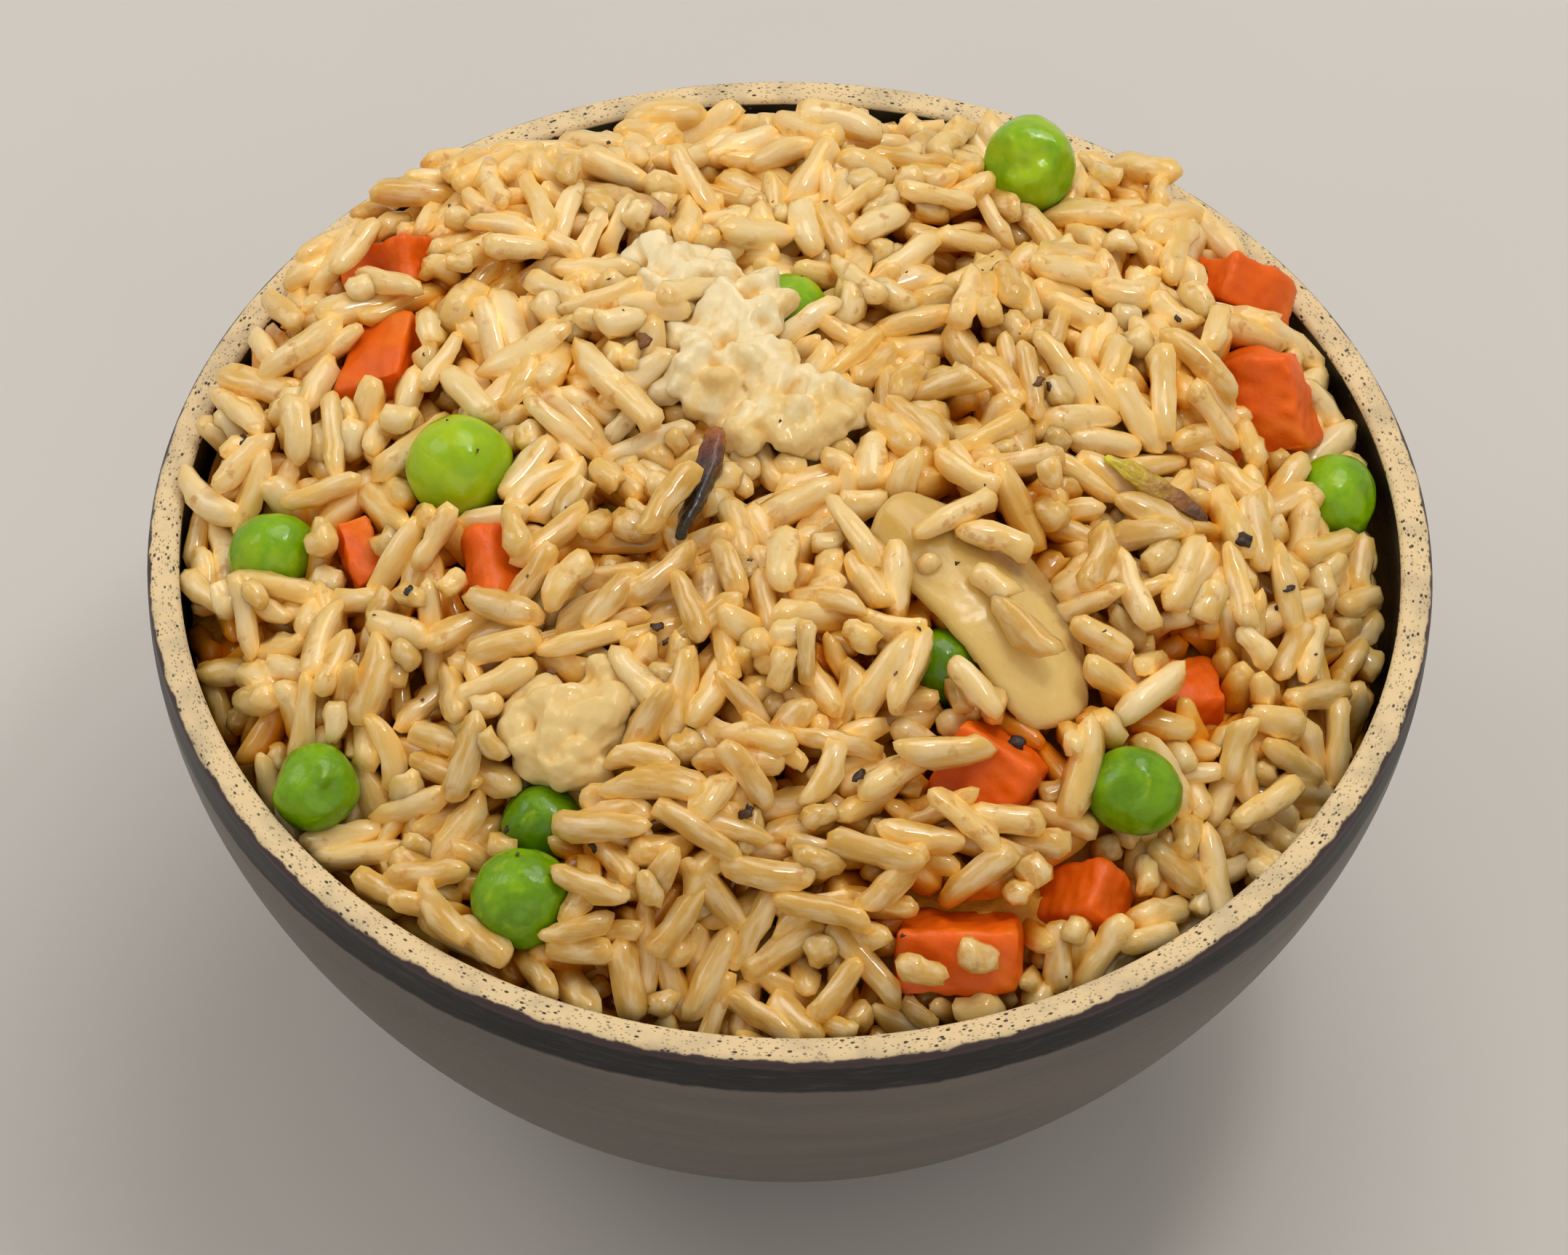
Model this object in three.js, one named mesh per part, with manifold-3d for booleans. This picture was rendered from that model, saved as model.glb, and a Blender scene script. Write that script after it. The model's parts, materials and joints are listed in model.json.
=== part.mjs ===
// A small stoneware rice bowl heaped with fried rice. The heap is loose long grains with peas,
// diced carrot, a slice of onion, browned strips of scallion and pale clumps of stuck grains.
// Units are millimetres and +Z is up. The origin is the middle of the foot, on the table.

import * as THREE from 'three';
import { mergeVertices } from 'three/addons/utils/BufferGeometryUtils.js';
import Module from 'manifold-3d';

const wasm = await Module();
wasm.setup();

// ---------------------------------------------------------------- driving dimensions: bowl
const RIM_RADIUS = 57.5;
const BOWL_HEIGHT = 60;
const WALL = 2.9;
const RIM_OUTER_ROUND = 0.9;
const RIM_INNER_ROUND = 0.7;
const FOOT_HEIGHT = 6;
const FOOT_RADIUS = 25;
const FOOT_WIDTH = 4;
const FOOT_RECESS = 2.4;
const FOOT_CHAMFER = 0.5;
const RIM_STRAIGHT = 2;         // height below the rim's top where the belly's curve ends
const BELLY_FULLNESS = 19;      // how far below the rim the wall still runs straight down
const BELLY_BULGE = 0.4;        // how far the belly stands out past the rim
const BELLY_FLAT = 8;           // how far out from the foot the underside stays level
const BOWL_SEGMENTS = 48;

// ---------------------------------------------------------------- driving dimensions: heap
const GAP = 0.3;                // air left between neighbouring pieces
const DOME_HEIGHT = 13;         // crown of the heap above the rim
const HEAP_RADIUS = 54;         // where the heap meets the wall
const DOME_POWER = 2.2;         // how flat-topped the dome is
const EDGE_MEAN = -0.3;         // mean height of the heap at the wall, from the rim
// The heap's edge rises and falls round the wall: waves per turn, cosine and sine heights.
const EDGE_WAVES = [
  [1, -1.6, 3.4],
  [2, -0.1, -0.3],
  [3, -0.5, 1.1],
  [4, -1.2, 0],
];
const CORE_DEPTH = 1.7;         // the packed core lies this far under the loose grains' tops
const CORE_EDGE_START = 47;     // from here out the core falls away, leaving a gap at the wall
const CORE_EDGE_FALL = 1.8;
const CORE_BUMP = 0.6;          // lumps of about a grain's thickness on the core
const CORE_BUMP_WAVES = [[1.31, 0.7], [-0.6, 1.13]];   // radians per mm along x and y
const CORE_CLEARANCE = 0.3;     // extra gap at the wall, because the wall has flat facets
const CORE_RINGS = 9;
const CORE_SEGMENTS = 32;

const GRAIN_COUNT = 186;
const GRAIN_LENGTH = [7.0, 9.8];
const GRAIN_WIDTH = [2.7, 3.4];
const GRAIN_SIDES = 5;
// Outline of a grain: radius as a share of its width, and place as a share of its length.
const GRAIN_OUTLINE = [[0, -0.5], [0.46, -0.27], [0.5, 0.24], [0, 0.5]];
const GRAIN_TILT = 0.42;        // a grain tips up to this many radians out of the surface
const GRAIN_RISE = 0.32;        // middle of a grain above the core, as a share of its width
const GRAIN_TURNS = 5;          // headings tried where a grain is in the way of a topping
const GRAIN_SHORT = 0.62;       // then it is tried this much shorter, and else left out
const SEED = 2417;

// ---------------------------------------------------------------- driving dimensions: toppings
// x and y are from the bowl's axis, and lift is the middle's height above the heap's surface.
const PEAS = [
  { x: -29.6, y: 0.0, lift: 0.3, diameter: 9.7 },
  { x: 21.0, y: 41.4, lift: 0.8, diameter: 8.8, length: 9.8 },
  { x: -0.9, y: 19.1, lift: -2.0, diameter: 7.8 },
  { x: -46.0, y: -3.8, lift: -2.3, diameter: 8.2 },
  { x: -41.0, y: -29.0, lift: -0.5, diameter: 7.9 },
  { x: -20.9, y: -33.7, lift: -3.6, diameter: 7.7 },
  { x: -22.3, y: -41.8, lift: 0.3, diameter: 9.2 },
  { x: 13.4, y: -18.9, lift: -4.0, diameter: 7.6 },
  { x: 30.5, y: -29.9, lift: 0.3, diameter: 8.4 },
  { x: 49.0, y: 8.6, lift: -1.7, diameter: 8.2 },
];

// spin turns a dice about its own upright axis, tilt tips it over, and heading says which way.
const CARROTS = [
  { x: -36.6, y: 26.4, lift: -2.0, size: [8.0, 6.4, 6.4], spin: 48, tilt: 52, heading: -46 },
  { x: -36.6, y: 14.8, lift: -2.6, size: [7.4, 9.2, 6.4], spin: 92, tilt: 32, heading: -100 },
  { x: 40.6, y: 29.8, lift: -1.6, size: [9.0, 6.8, 5.4], spin: -134, tilt: 66, heading: 161 },
  { x: 42.4, y: 17.0, lift: -2.4, size: [8.8, 10.4, 6.0], spin: 29, tilt: 54, heading: -24 },
  { x: -25.9, y: -10.4, lift: -1.6, size: [5.0, 8.0, 5.6], spin: -50, tilt: 23, heading: 67 },
  { x: 17.8, y: -29.4, lift: -2.8, size: [8.4, 8.0, 7.2], spin: -8, tilt: 46, heading: -29 },
  { x: 15.4, y: -44.2, lift: -2.6, size: [11.2, 6.4, 7.6], spin: 5, tilt: 55, heading: -3 },
  { x: 26.4, y: -37.4, lift: -5.2, size: [7.5, 6.4, 7.0], spin: 77, tilt: 33, heading: -93 },
  { x: 35.2, y: -16.6, lift: -4.6, size: [6.4, 6.8, 6.0], spin: -145, tilt: 12, heading: 160 },
  { x: -38.0, y: -5.6, lift: -3.0, size: [3.6, 7.4, 4.4], spin: 12, tilt: 15, heading: 10 },
];
const PEA_DEEP = -1.8;          // a pea lying deeper than this is mostly hidden and made plainer
const WELL_SIDES = 7;
const DICE_GRID = 3;            // each face of a dice has this many strips each way
const DICE_EDGE = 0.42;         // inner grid lines of a dice's face, as a share of its side
const DICE_EDGE_ROUND = 0.035;  // how far the cooked edges and corners are worn in
const DICE_CORNER_ROUND = 0.075;
const DICE_HOLLOW = 0.03;       // how far the cut faces sag
const DICE_TAPER = 0.08;        // one end of a dice is this much smaller

const ONION = {
  x: 17.6, y: -14.7, lift: 0.5, length: 25.6, width: 12.6, thickness: 1.9,
  heading: -46, roll: -13, pitch: 20, cup: 1.3, bow: 1.5, bend: 1.6,
};
const ONION_POINT = 0.6;        // width at the narrower end, as a share of the full width
const ONION_WIDENING = 1.4;     // how fast it widens from there
const ONION_NARROWING = 0.4;    // and how much it narrows at the far end
const ONION_ROUND_ENDS = 0.12;  // how far the corners of both ends are drawn in
const ONION_THIN_SIDES = 0.45;  // how much thinner the long edges are, and then the two ends
const ONION_THIN_ENDS = 0.2;
const ONION_RIPPLE = 0.18;

// A strip runs through its points: x, y and lift, with the radius there. The ends are closed.
const STRIPS = [
  {
    name: 'charred_strip', color: '#2a160e', flat: 0.75,
    points: [[-6.8, 1.0, 1.6], [-7.0, -1.6, 1.9], [-7.7, -5.0, 1.9], [-9.0, -8.4, 1.7], [-9.9, -10.9, 1.3]],
    radii: [0.85, 1.0, 0.7, 0.55, 0.35],
  },
  {
    name: 'scallion_strip', color: '#8a6a1c', flat: 0.6,
    points: [[27.6, 2.2, 1.6], [29.8, 1.3, 1.9], [32.4, 0.2, 1.9], [34.8, -0.7, 1.7], [37.0, -1.7, 1.3]],
    radii: [0.5, 1.15, 1.25, 0.8, 0.4],
  },
  {
    name: 'onion_skin_strip', color: '#8d6136', flat: 0.3,
    points: [[-20.2, 35.4, 0.9], [-17.4, 33.3, 1.3], [-14.6, 31.6, 1.2], [-12.0, 30.4, 0.8]],
    radii: [0.7, 1.3, 1.2, 0.6],
  },
];
const STRIP_SIDES = 6;
const STRIP_STEPS = 6;
const STRIP_BLUNT = 0.04;       // share of its length at each end taken by the closing point
const STRIP_BEDS = [0.15, 0.5, 0.85];   // a grain lies across under a strip at these shares of it

// A clump is a few lumps grown together: x, y, lift, then its three radii and its heading.
const CLUMPS = [
  {
    name: 'pale_clump_large',
    lumps: [
      [-11.2, 20.4, 0.3, 3.8, 6.2, 2.6, 25],
      [-5.4, 17.8, 0.9, 5.6, 5.4, 2.7, -20],
      [-6.4, 10.2, 0.6, 6.4, 5.0, 2.5, -12],
      [-0.4, 4.8, 0.2, 6.6, 4.0, 2.3, 18],
    ],
  },
  {
    name: 'pale_clump_small',
    lumps: [
      [-20.6, -27.4, 0.5, 3.4, 3.9, 2.3, 15],
      [-16.6, -26.2, 0.6, 2.0, 4.4, 2.0, -22],
      [-18.9, -30.0, 0.1, 3.3, 2.5, 2.0, -8],
    ],
  },
];
const CLUMP_ROOM_SWELL = 1.3;   // the room left for a clump is this much larger and plainer

// ---------------------------------------------------------------- finishes
const COLORS = {
  bowl: '#57504a',
  rice: '#d9b98a',
  pea: '#5f9a12',
  carrot: '#d9621f',
  onion: '#cdb389',
  clump: '#ead0a0',
};

function finish(color, roughness) {
  return new THREE.MeshStandardMaterial({ color, roughness, metalness: 0 });
}

// ---------------------------------------------------------------- helpers
function randomFrom(seed) {
  let state = seed;
  return () => {
    state = (state + 0x6d2b79f5) | 0;
    let bits = Math.imul(state ^ (state >>> 15), 1 | state);
    bits = (bits + Math.imul(bits ^ (bits >>> 7), 61 | bits)) ^ bits;
    return ((bits ^ (bits >>> 14)) >>> 0) / 4294967296;
  };
}

function between([low, high], share) {
  return low + (high - low) * share;
}

// Shares the vertices of a geometry and drops the triangles that have collapsed to a line.
function weld(geometry) {
  const bare = geometry.clone();
  bare.deleteAttribute('normal');
  bare.deleteAttribute('uv');
  const merged = mergeVertices(bare, 1e-4);
  const index = merged.index.array;
  const kept = [];
  for (let i = 0; i < index.length; i += 3) {
    const [a, b, c] = index.slice(i, i + 3);
    if (a !== b && b !== c && c !== a) {
      kept.push(a, b, c);
    }
  }
  merged.setIndex(kept);
  return merged;
}

// Moves each vertex of a geometry by a function of its place.
function reshape(geometry, move) {
  const place = geometry.attributes.position;
  const point = new THREE.Vector3();
  for (let i = 0; i < place.count; i += 1) {
    point.fromBufferAttribute(place, i);
    move(point);
    place.setXYZ(i, point.x, point.y, point.z);
  }
  return geometry;
}

function toSolid(geometry) {
  const closed = weld(geometry);
  return new wasm.Manifold(new wasm.Mesh({
    numProp: 3,
    vertProperties: new Float32Array(closed.attributes.position.array),
    triVerts: new Uint32Array(closed.index.array),
  }));
}

function toGeometry(solid) {
  const mesh = solid.getMesh();
  const geometry = new THREE.BufferGeometry();
  geometry.setAttribute('position', new THREE.BufferAttribute(mesh.vertProperties, 3));
  geometry.setIndex(new THREE.BufferAttribute(mesh.triVerts, 1));
  return geometry;
}

// A copy of a geometry grown by a margin all round.
function grown(geometry, margin) {
  const closed = weld(geometry);
  closed.computeVertexNormals();
  const place = closed.attributes.position;
  const normal = closed.attributes.normal;
  for (let i = 0; i < place.count; i += 1) {
    place.setXYZ(
      i,
      place.getX(i) + normal.getX(i) * margin,
      place.getY(i) + normal.getY(i) * margin,
      place.getZ(i) + normal.getZ(i) * margin,
    );
  }
  return toSolid(closed);
}

// Keeps the largest body of a solid, which drops loose scraps and fills sealed pockets.
function mainBody(solid) {
  const bodies = solid.decompose();
  return bodies.reduce((largest, body) => (body.volume() > largest.volume() ? body : largest));
}

// Turns the profile (radius, height) about the upright axis.
function turned(profile, segments) {
  return new THREE.LatheGeometry(profile, segments).rotateX(Math.PI / 2);
}

// ---------------------------------------------------------------- bowl
const bellyCurve = new THREE.CubicBezierCurve(
  new THREE.Vector2(FOOT_RADIUS, FOOT_HEIGHT),
  new THREE.Vector2(FOOT_RADIUS + BELLY_FLAT, FOOT_HEIGHT),
  new THREE.Vector2(RIM_RADIUS + BELLY_BULGE, BOWL_HEIGHT - RIM_STRAIGHT - BELLY_FULLNESS),
  new THREE.Vector2(RIM_RADIUS, BOWL_HEIGHT - RIM_STRAIGHT),
);

// Points of the wall's outer curve moved inwards by a depth, from the foot to the rim.
function wallPoints(depth, divisions) {
  const points = [];
  for (let i = 0; i <= divisions; i += 1) {
    const share = i / divisions;
    const point = bellyCurve.getPoint(share);
    const along = bellyCurve.getTangent(share);
    points.push(new THREE.Vector2(point.x - along.y * depth, point.y + along.x * depth));
  }
  return points;
}

function arc(x, y, radius, fromDegrees, toDegrees, divisions) {
  const from = THREE.MathUtils.degToRad(fromDegrees);
  const to = THREE.MathUtils.degToRad(toDegrees);
  const curve = new THREE.EllipseCurve(x, y, radius, radius, from, to, false);
  return curve.getPoints(divisions);
}

function makeBowl() {
  const footInner = FOOT_RADIUS - FOOT_WIDTH;
  const floor = wallPoints(WALL, 1)[0].y;
  const rimInner = RIM_RADIUS - WALL + RIM_INNER_ROUND;
  const profile = [
    new THREE.Vector2(0, FOOT_RECESS),
    new THREE.Vector2(footInner - FOOT_CHAMFER, FOOT_RECESS),
    new THREE.Vector2(footInner, 0),
    new THREE.Vector2(FOOT_RADIUS - 2 * FOOT_CHAMFER, 0),
    new THREE.Vector2(FOOT_RADIUS - FOOT_CHAMFER, FOOT_CHAMFER),
    ...wallPoints(0, 7),
    ...arc(RIM_RADIUS - RIM_OUTER_ROUND, BOWL_HEIGHT - RIM_OUTER_ROUND, RIM_OUTER_ROUND, 0, 90, 2),
    ...arc(rimInner, BOWL_HEIGHT - RIM_INNER_ROUND, RIM_INNER_ROUND, 90, 180, 2),
    ...wallPoints(WALL, 5).reverse(),
    new THREE.Vector2(0, floor),
  ];
  return turned(profile, BOWL_SEGMENTS);
}

// ---------------------------------------------------------------- heap
// Height of the heap's surface, where the tops of the loose grains lie.
function heapHeight(x, y) {
  const turn = Math.atan2(y, x);
  let edge = EDGE_MEAN;
  for (const [waves, cosine, sine] of EDGE_WAVES) {
    edge += cosine * Math.cos(waves * turn) + sine * Math.sin(waves * turn);
  }
  const outward = Math.min(Math.hypot(x, y) / HEAP_RADIUS, 1) ** DOME_POWER;
  return BOWL_HEIGHT + DOME_HEIGHT * (1 - outward) + edge * outward;
}

function coreHeight(x, y) {
  const past = Math.max(0, Math.hypot(x, y) - CORE_EDGE_START) / (HEAP_RADIUS - CORE_EDGE_START);
  const [bumpOne, bumpTwo] = CORE_BUMP_WAVES.map(([alongX, alongY]) => (
    Math.sin(alongX * x + alongY * y)));
  const bump = bumpOne * bumpTwo;
  return heapHeight(x, y) - CORE_DEPTH - CORE_EDGE_FALL * past * past + CORE_BUMP * bump;
}

// Direction square to the heap's surface.
function heapNormal(x, y) {
  const step = 1;
  const slopeX = (heapHeight(x + step, y) - heapHeight(x - step, y)) / (2 * step);
  const slopeY = (heapHeight(x, y + step) - heapHeight(x, y - step)) / (2 * step);
  return new THREE.Vector3(-slopeX, -slopeY, 1).normalize();
}

// The packed rice under the loose grains: it fills the bowl up to a lumpy dome.
function makeCore() {
  const reach = RIM_RADIUS + WALL;
  const inside = wallPoints(WALL + GAP + CORE_CLEARANCE, 3);
  const plugTop = BOWL_HEIGHT + 2 * DOME_HEIGHT;
  const plugProfile = [
    new THREE.Vector2(0, inside[0].y),
    ...inside,
    new THREE.Vector2(inside.at(-1).x, plugTop),
    new THREE.Vector2(0, plugTop),
  ];
  const plug = toSolid(turned(plugProfile, CORE_SEGMENTS));

  const domeProfile = [new THREE.Vector2(0, 0), new THREE.Vector2(reach, 0)];
  for (let ring = CORE_RINGS; ring >= 0; ring -= 1) {
    domeProfile.push(new THREE.Vector2((reach * ring) / CORE_RINGS, BOWL_HEIGHT));
  }
  const dome = reshape(turned(domeProfile, CORE_SEGMENTS), (point) => {
    if (point.z > BOWL_HEIGHT / 2) {
      point.z = coreHeight(point.x, point.y);
    }
  });
  return plug.intersect(toSolid(dome));
}

// A cooked long grain with a few sides, lying along X with its middle at the origin.
function makeGrain(length, width, bend) {
  const profile = GRAIN_OUTLINE.map(([radius, along]) => (
    new THREE.Vector2(radius * width, along * length)));
  const grain = new THREE.LatheGeometry(profile, GRAIN_SIDES).rotateZ(-Math.PI / 2);
  return reshape(grain, (point) => {
    point.y += bend * (point.x / length) ** 2;
  });
}

// Lays a geometry on the heap: its X axis points along the heading, its Z axis is tipped from
// the surface's own direction by a tilt in radians, and its middle stands a rise above the core.
function layOnHeap(geometry, x, y, z, heading, tilt) {
  const up = heapNormal(x, y);
  const ahead = new THREE.Vector3(Math.cos(heading), Math.sin(heading), 0);
  ahead.addScaledVector(up, -ahead.dot(up)).normalize();
  const side = new THREE.Vector3().crossVectors(up, ahead);
  ahead.applyAxisAngle(side, -tilt);
  up.applyAxisAngle(side, -tilt);
  const turn = new THREE.Matrix4().makeBasis(ahead, side, up);
  turn.setPosition(x, y, z);
  return geometry.clone().applyMatrix4(turn);
}

// ---------------------------------------------------------------- toppings
function makePea({ x, y, lift, diameter, length = diameter }) {
  const roundness = lift < PEA_DEEP ? 1 : 2;
  const pea = new THREE.IcosahedronGeometry(diameter / 2, roundness);
  pea.scale(1, 0.97, length / diameter);
  pea.rotateZ(x);
  return pea.translate(x, y, heapHeight(x, y) + lift);
}

// The well that a pea sits in.
function makePeaRoom({ x, y, lift, diameter, length = diameter }) {
  const radius = (diameter / 2 + GAP) / Math.cos(Math.PI / WELL_SIDES);
  const depth = length / 2 + GAP;
  const well = new THREE.CylinderGeometry(radius, radius, depth * 2, WELL_SIDES);
  return well.rotateX(Math.PI / 2).translate(x, y, heapHeight(x, y) + lift);
}

// A cut cube worn by cooking: its corners and edges are drawn in and its faces sag. The plain
// box it starts from spans -0.5 to 0.5, and its inner grid lines are moved out to the edges.
function makeWornDice(size) {
  const box = new THREE.BoxGeometry(1, 1, 1, DICE_GRID, DICE_GRID, DICE_GRID);
  return reshape(box, (point) => {
    const sides = point.toArray();
    const onFace = sides.map((side) => Math.abs(side) > 0.4);
    const inward = [0, DICE_HOLLOW, DICE_EDGE_ROUND, DICE_CORNER_ROUND][onFace.filter(Boolean).length];
    const moved = sides.map((side, axis) => (
      Math.sign(side) * (onFace[axis] ? 0.5 - inward : DICE_EDGE)));
    const taper = 1 - DICE_TAPER * (moved[0] + 0.5);
    point.set(moved[0] * size[0], moved[1] * size[1] * taper, moved[2] * size[2] * taper);
  });
}

function settleDice(dice, { x, y, lift, spin, tilt, heading }) {
  dice.rotateZ(THREE.MathUtils.degToRad(spin));
  dice.rotateX(THREE.MathUtils.degToRad(tilt));
  dice.rotateZ(THREE.MathUtils.degToRad(heading));
  return dice.translate(x, y, heapHeight(x, y) + lift);
}

function makeDice(dice) {
  return settleDice(makeWornDice(dice.size), dice);
}

function makeDiceRoom(dice) {
  const sides = dice.size.map((side) => side + 2 * GAP);
  return settleDice(new THREE.BoxGeometry(...sides), dice);
}

// One layer of an onion, cut as a petal: narrower at both ends, cupped across, bowed along
// and bent a little to one side.
function makeOnionSlice(slab, lengthwise, crosswise, margin) {
  const { x, y, lift, heading, roll, pitch, cup, bow, bend } = slab;
  const length = slab.length + 2 * margin;
  const width = slab.width + 2 * margin;
  const thickness = slab.thickness + 4 * margin;
  const plain = new THREE.BoxGeometry(1, 1, 1, lengthwise, crosswise, 1);
  const slice = reshape(plain, (point) => {
    const along = point.x * 2;
    const across = point.y * 2;
    const travelled = point.x + 0.5;
    const widening = Math.min(1, ONION_POINT + ONION_WIDENING * travelled);
    const outline = widening * (1 - ONION_NARROWING * travelled ** 6);
    const edge = 1 - ONION_THIN_SIDES * Math.abs(across) ** 3 - ONION_THIN_ENDS * along ** 4;
    const ripple = ONION_RIPPLE * Math.sin(9 * travelled) * across;
    point.set(
      point.x * length * (1 - ONION_ROUND_ENDS * across * across),
      point.y * width * outline + bend * (1 - along * along),
      point.z * thickness * edge - cup * across ** 2 - bow * along ** 2 + ripple,
    );
  });
  slice.rotateX(THREE.MathUtils.degToRad(roll));
  slice.rotateY(THREE.MathUtils.degToRad(pitch));
  slice.rotateZ(THREE.MathUtils.degToRad(heading));
  return slice.translate(x, y, heapHeight(x, y) + lift);
}

function stripCurve({ points }) {
  const places = points.map(([x, y, lift]) => new THREE.Vector3(x, y, heapHeight(x, y) + lift));
  return new THREE.CatmullRomCurve3(places);
}

function stripRadius({ radii }, share) {
  const place = share * (radii.length - 1);
  const before = Math.min(Math.floor(place), radii.length - 2);
  return THREE.MathUtils.lerp(radii[before], radii[before + 1], place - before);
}

function makeStrip(strip) {
  const curve = stripCurve(strip);
  const profile = [new THREE.Vector2(0, 0)];
  for (let step = 0; step <= STRIP_STEPS; step += 1) {
    const share = step / STRIP_STEPS;
    const along = STRIP_BLUNT + (1 - 2 * STRIP_BLUNT) * share;
    profile.push(new THREE.Vector2(stripRadius(strip, share), along));
  }
  profile.push(new THREE.Vector2(0, 1));
  return reshape(new THREE.LatheGeometry(profile, STRIP_SIDES), (point) => {
    const middle = curve.getPoint(point.y);
    const ahead = curve.getTangent(point.y);
    const side = new THREE.Vector3(0, 0, 1).cross(ahead).normalize();
    const up = new THREE.Vector3().crossVectors(ahead, side);
    const offset = side.multiplyScalar(point.x).addScaledVector(up, -point.z * strip.flat);
    point.copy(middle).add(offset);
  });
}

function makeClump({ lumps }, roundness, swell) {
  let clump = null;
  for (const [x, y, lift, across, along, deep, heading] of lumps) {
    const radii = [across, along, deep].map((radius) => radius * swell);
    const lump = new THREE.IcosahedronGeometry(1, roundness).scale(...radii);
    lump.rotateZ(THREE.MathUtils.degToRad(heading));
    const solid = toSolid(layOnHeap(lump, x, y, heapHeight(x, y) + lift - CORE_DEPTH / 2, 0, 0));
    clump = clump ? clump.add(solid) : solid;
  }
  return toGeometry(clump);
}

function numbered(prefix, index) {
  return `${prefix}_${String(index + 1).padStart(2, '0')}`;
}

// Each piece has its true shape, and the plain shape of the room left for it in the rice.
// The strips need no room, because they lie on top of grains.
const pieces = [
  ...PEAS.map((pea, i) => ({
    name: numbered('pea', i),
    shape: makePea(pea),
    room: makePeaRoom(pea),
    material: finish(COLORS.pea, 0.3),
  })),
  ...CARROTS.map((dice, i) => ({
    name: numbered('carrot', i),
    shape: makeDice(dice),
    room: makeDiceRoom(dice),
    material: finish(COLORS.carrot, 0.45),
  })),
  {
    name: 'onion_slice',
    shape: makeOnionSlice(ONION, 9, 4, 0),
    room: makeOnionSlice(ONION, 5, 4, GAP),
    material: finish(COLORS.onion, 0.4),
  },
  ...STRIPS.map((strip) => ({
    name: strip.name,
    shape: makeStrip(strip),
    room: null,
    material: finish(strip.color, 0.5),
  })),
  ...CLUMPS.map((clump) => ({
    name: clump.name,
    shape: makeClump(clump, 1, 1),
    room: makeClump(clump, 0, CLUMP_ROOM_SWELL),
    material: finish(COLORS.clump, 0.5),
  })),
];

function boxesMeet(one, other) {
  return [0, 1, 2].every((axis) => (
    one.min[axis] < other.max[axis] && other.min[axis] < one.max[axis]));
}

// Each topping gives way to the ones before it, with a thin gap where they would touch.
// Its reach is the piece with that gap all round.
const toppings = [];
for (const { name, shape, room, material } of pieces) {
  let solid = toSolid(shape);
  for (const { reach } of toppings) {
    if (boxesMeet(solid.boundingBox(), reach.boundingBox())) {
      solid = solid.subtract(reach);
    }
  }
  toppings.push({
    name, solid: mainBody(solid), material, room, reach: grown(shape, GAP),
  });
}

// ---------------------------------------------------------------- rice
// A grain lies across under each strip at a few places, so that the strip rests on the heap.
function makeBedGrains() {
  const beds = [];
  for (const strip of STRIPS) {
    const curve = stripCurve(strip);
    for (const share of STRIP_BEDS) {
      const middle = curve.getPoint(share);
      const ahead = curve.getTangent(share);
      const [width] = GRAIN_WIDTH;
      const drop = stripRadius(strip, share) * strip.flat + GAP + width / 2;
      const heading = Math.atan2(ahead.y, ahead.x) + Math.PI / 3;
      const grain = makeGrain(GRAIN_LENGTH[0], width, 0);
      beds.push(toSolid(layOnHeap(grain, middle.x, middle.y, middle.z - drop, heading, 0)));
    }
  }
  return beds;
}

// Lays one grain where it clears everything in the way: turned, or else shortened and turned.
function layGrain({ x, y, z, length, width, bend, heading, tilt }, inTheWay) {
  for (const shortening of [1, GRAIN_SHORT]) {
    const grain = makeGrain(length * shortening, width, bend * shortening);
    for (let turn = 0; turn < GRAIN_TURNS; turn += 1) {
      const turnedHeading = heading + (turn * Math.PI) / GRAIN_TURNS;
      const solid = toSolid(layOnHeap(grain, x, y, z, turnedHeading, tilt));
      const box = solid.boundingBox();
      const crosses = inTheWay.some((room) => (
        boxesMeet(box, room.boundingBox()) && !solid.intersect(room).isEmpty()));
      if (!crosses) {
        return solid;
      }
    }
  }
  return null;
}

function makeRice(bowl) {
  const random = randomFrom(SEED);
  const goldenAngle = Math.PI * (3 - Math.sqrt(5));
  const inTheWay = [...toppings.map(({ reach }) => reach), grown(bowl, GAP)];
  let rice = makeCore();
  for (const { room } of toppings) {
    rice = room ? rice.subtract(toSolid(room)) : rice;
  }
  for (const bed of makeBedGrains()) {
    rice = rice.add(bed);
  }
  for (let i = 0; i < GRAIN_COUNT; i += 1) {
    const distance = (HEAP_RADIUS - 0.5) * Math.sqrt((i + 0.5) / GRAIN_COUNT);
    const x = distance * Math.cos(i * goldenAngle);
    const y = distance * Math.sin(i * goldenAngle);
    const width = between(GRAIN_WIDTH, random());
    const grain = layGrain({
      x,
      y,
      z: coreHeight(x, y) + width * GRAIN_RISE,
      length: between(GRAIN_LENGTH, random()),
      width,
      bend: (random() - 0.5) * width * 2,
      heading: random() * Math.PI * 2,
      tilt: (random() * 2 - 1) * GRAIN_TILT,
    }, inTheWay);
    if (grain) {
      rice = rice.add(grain);
    }
  }
  return mainBody(rice);
}

// ---------------------------------------------------------------- assembly
const bowlGeometry = makeBowl();
const heapedBowl = new THREE.Group();

function place(name, geometry, material) {
  const mesh = new THREE.Mesh(geometry, material);
  mesh.name = name;
  heapedBowl.add(mesh);
}

place('bowl', bowlGeometry, finish(COLORS.bowl, 0.55));
place('rice', toGeometry(makeRice(bowlGeometry)), finish(COLORS.rice, 0.5));
for (const { name, solid, material } of toppings) {
  place(name, toGeometry(solid), material);
}

export default heapedBowl;
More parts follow.
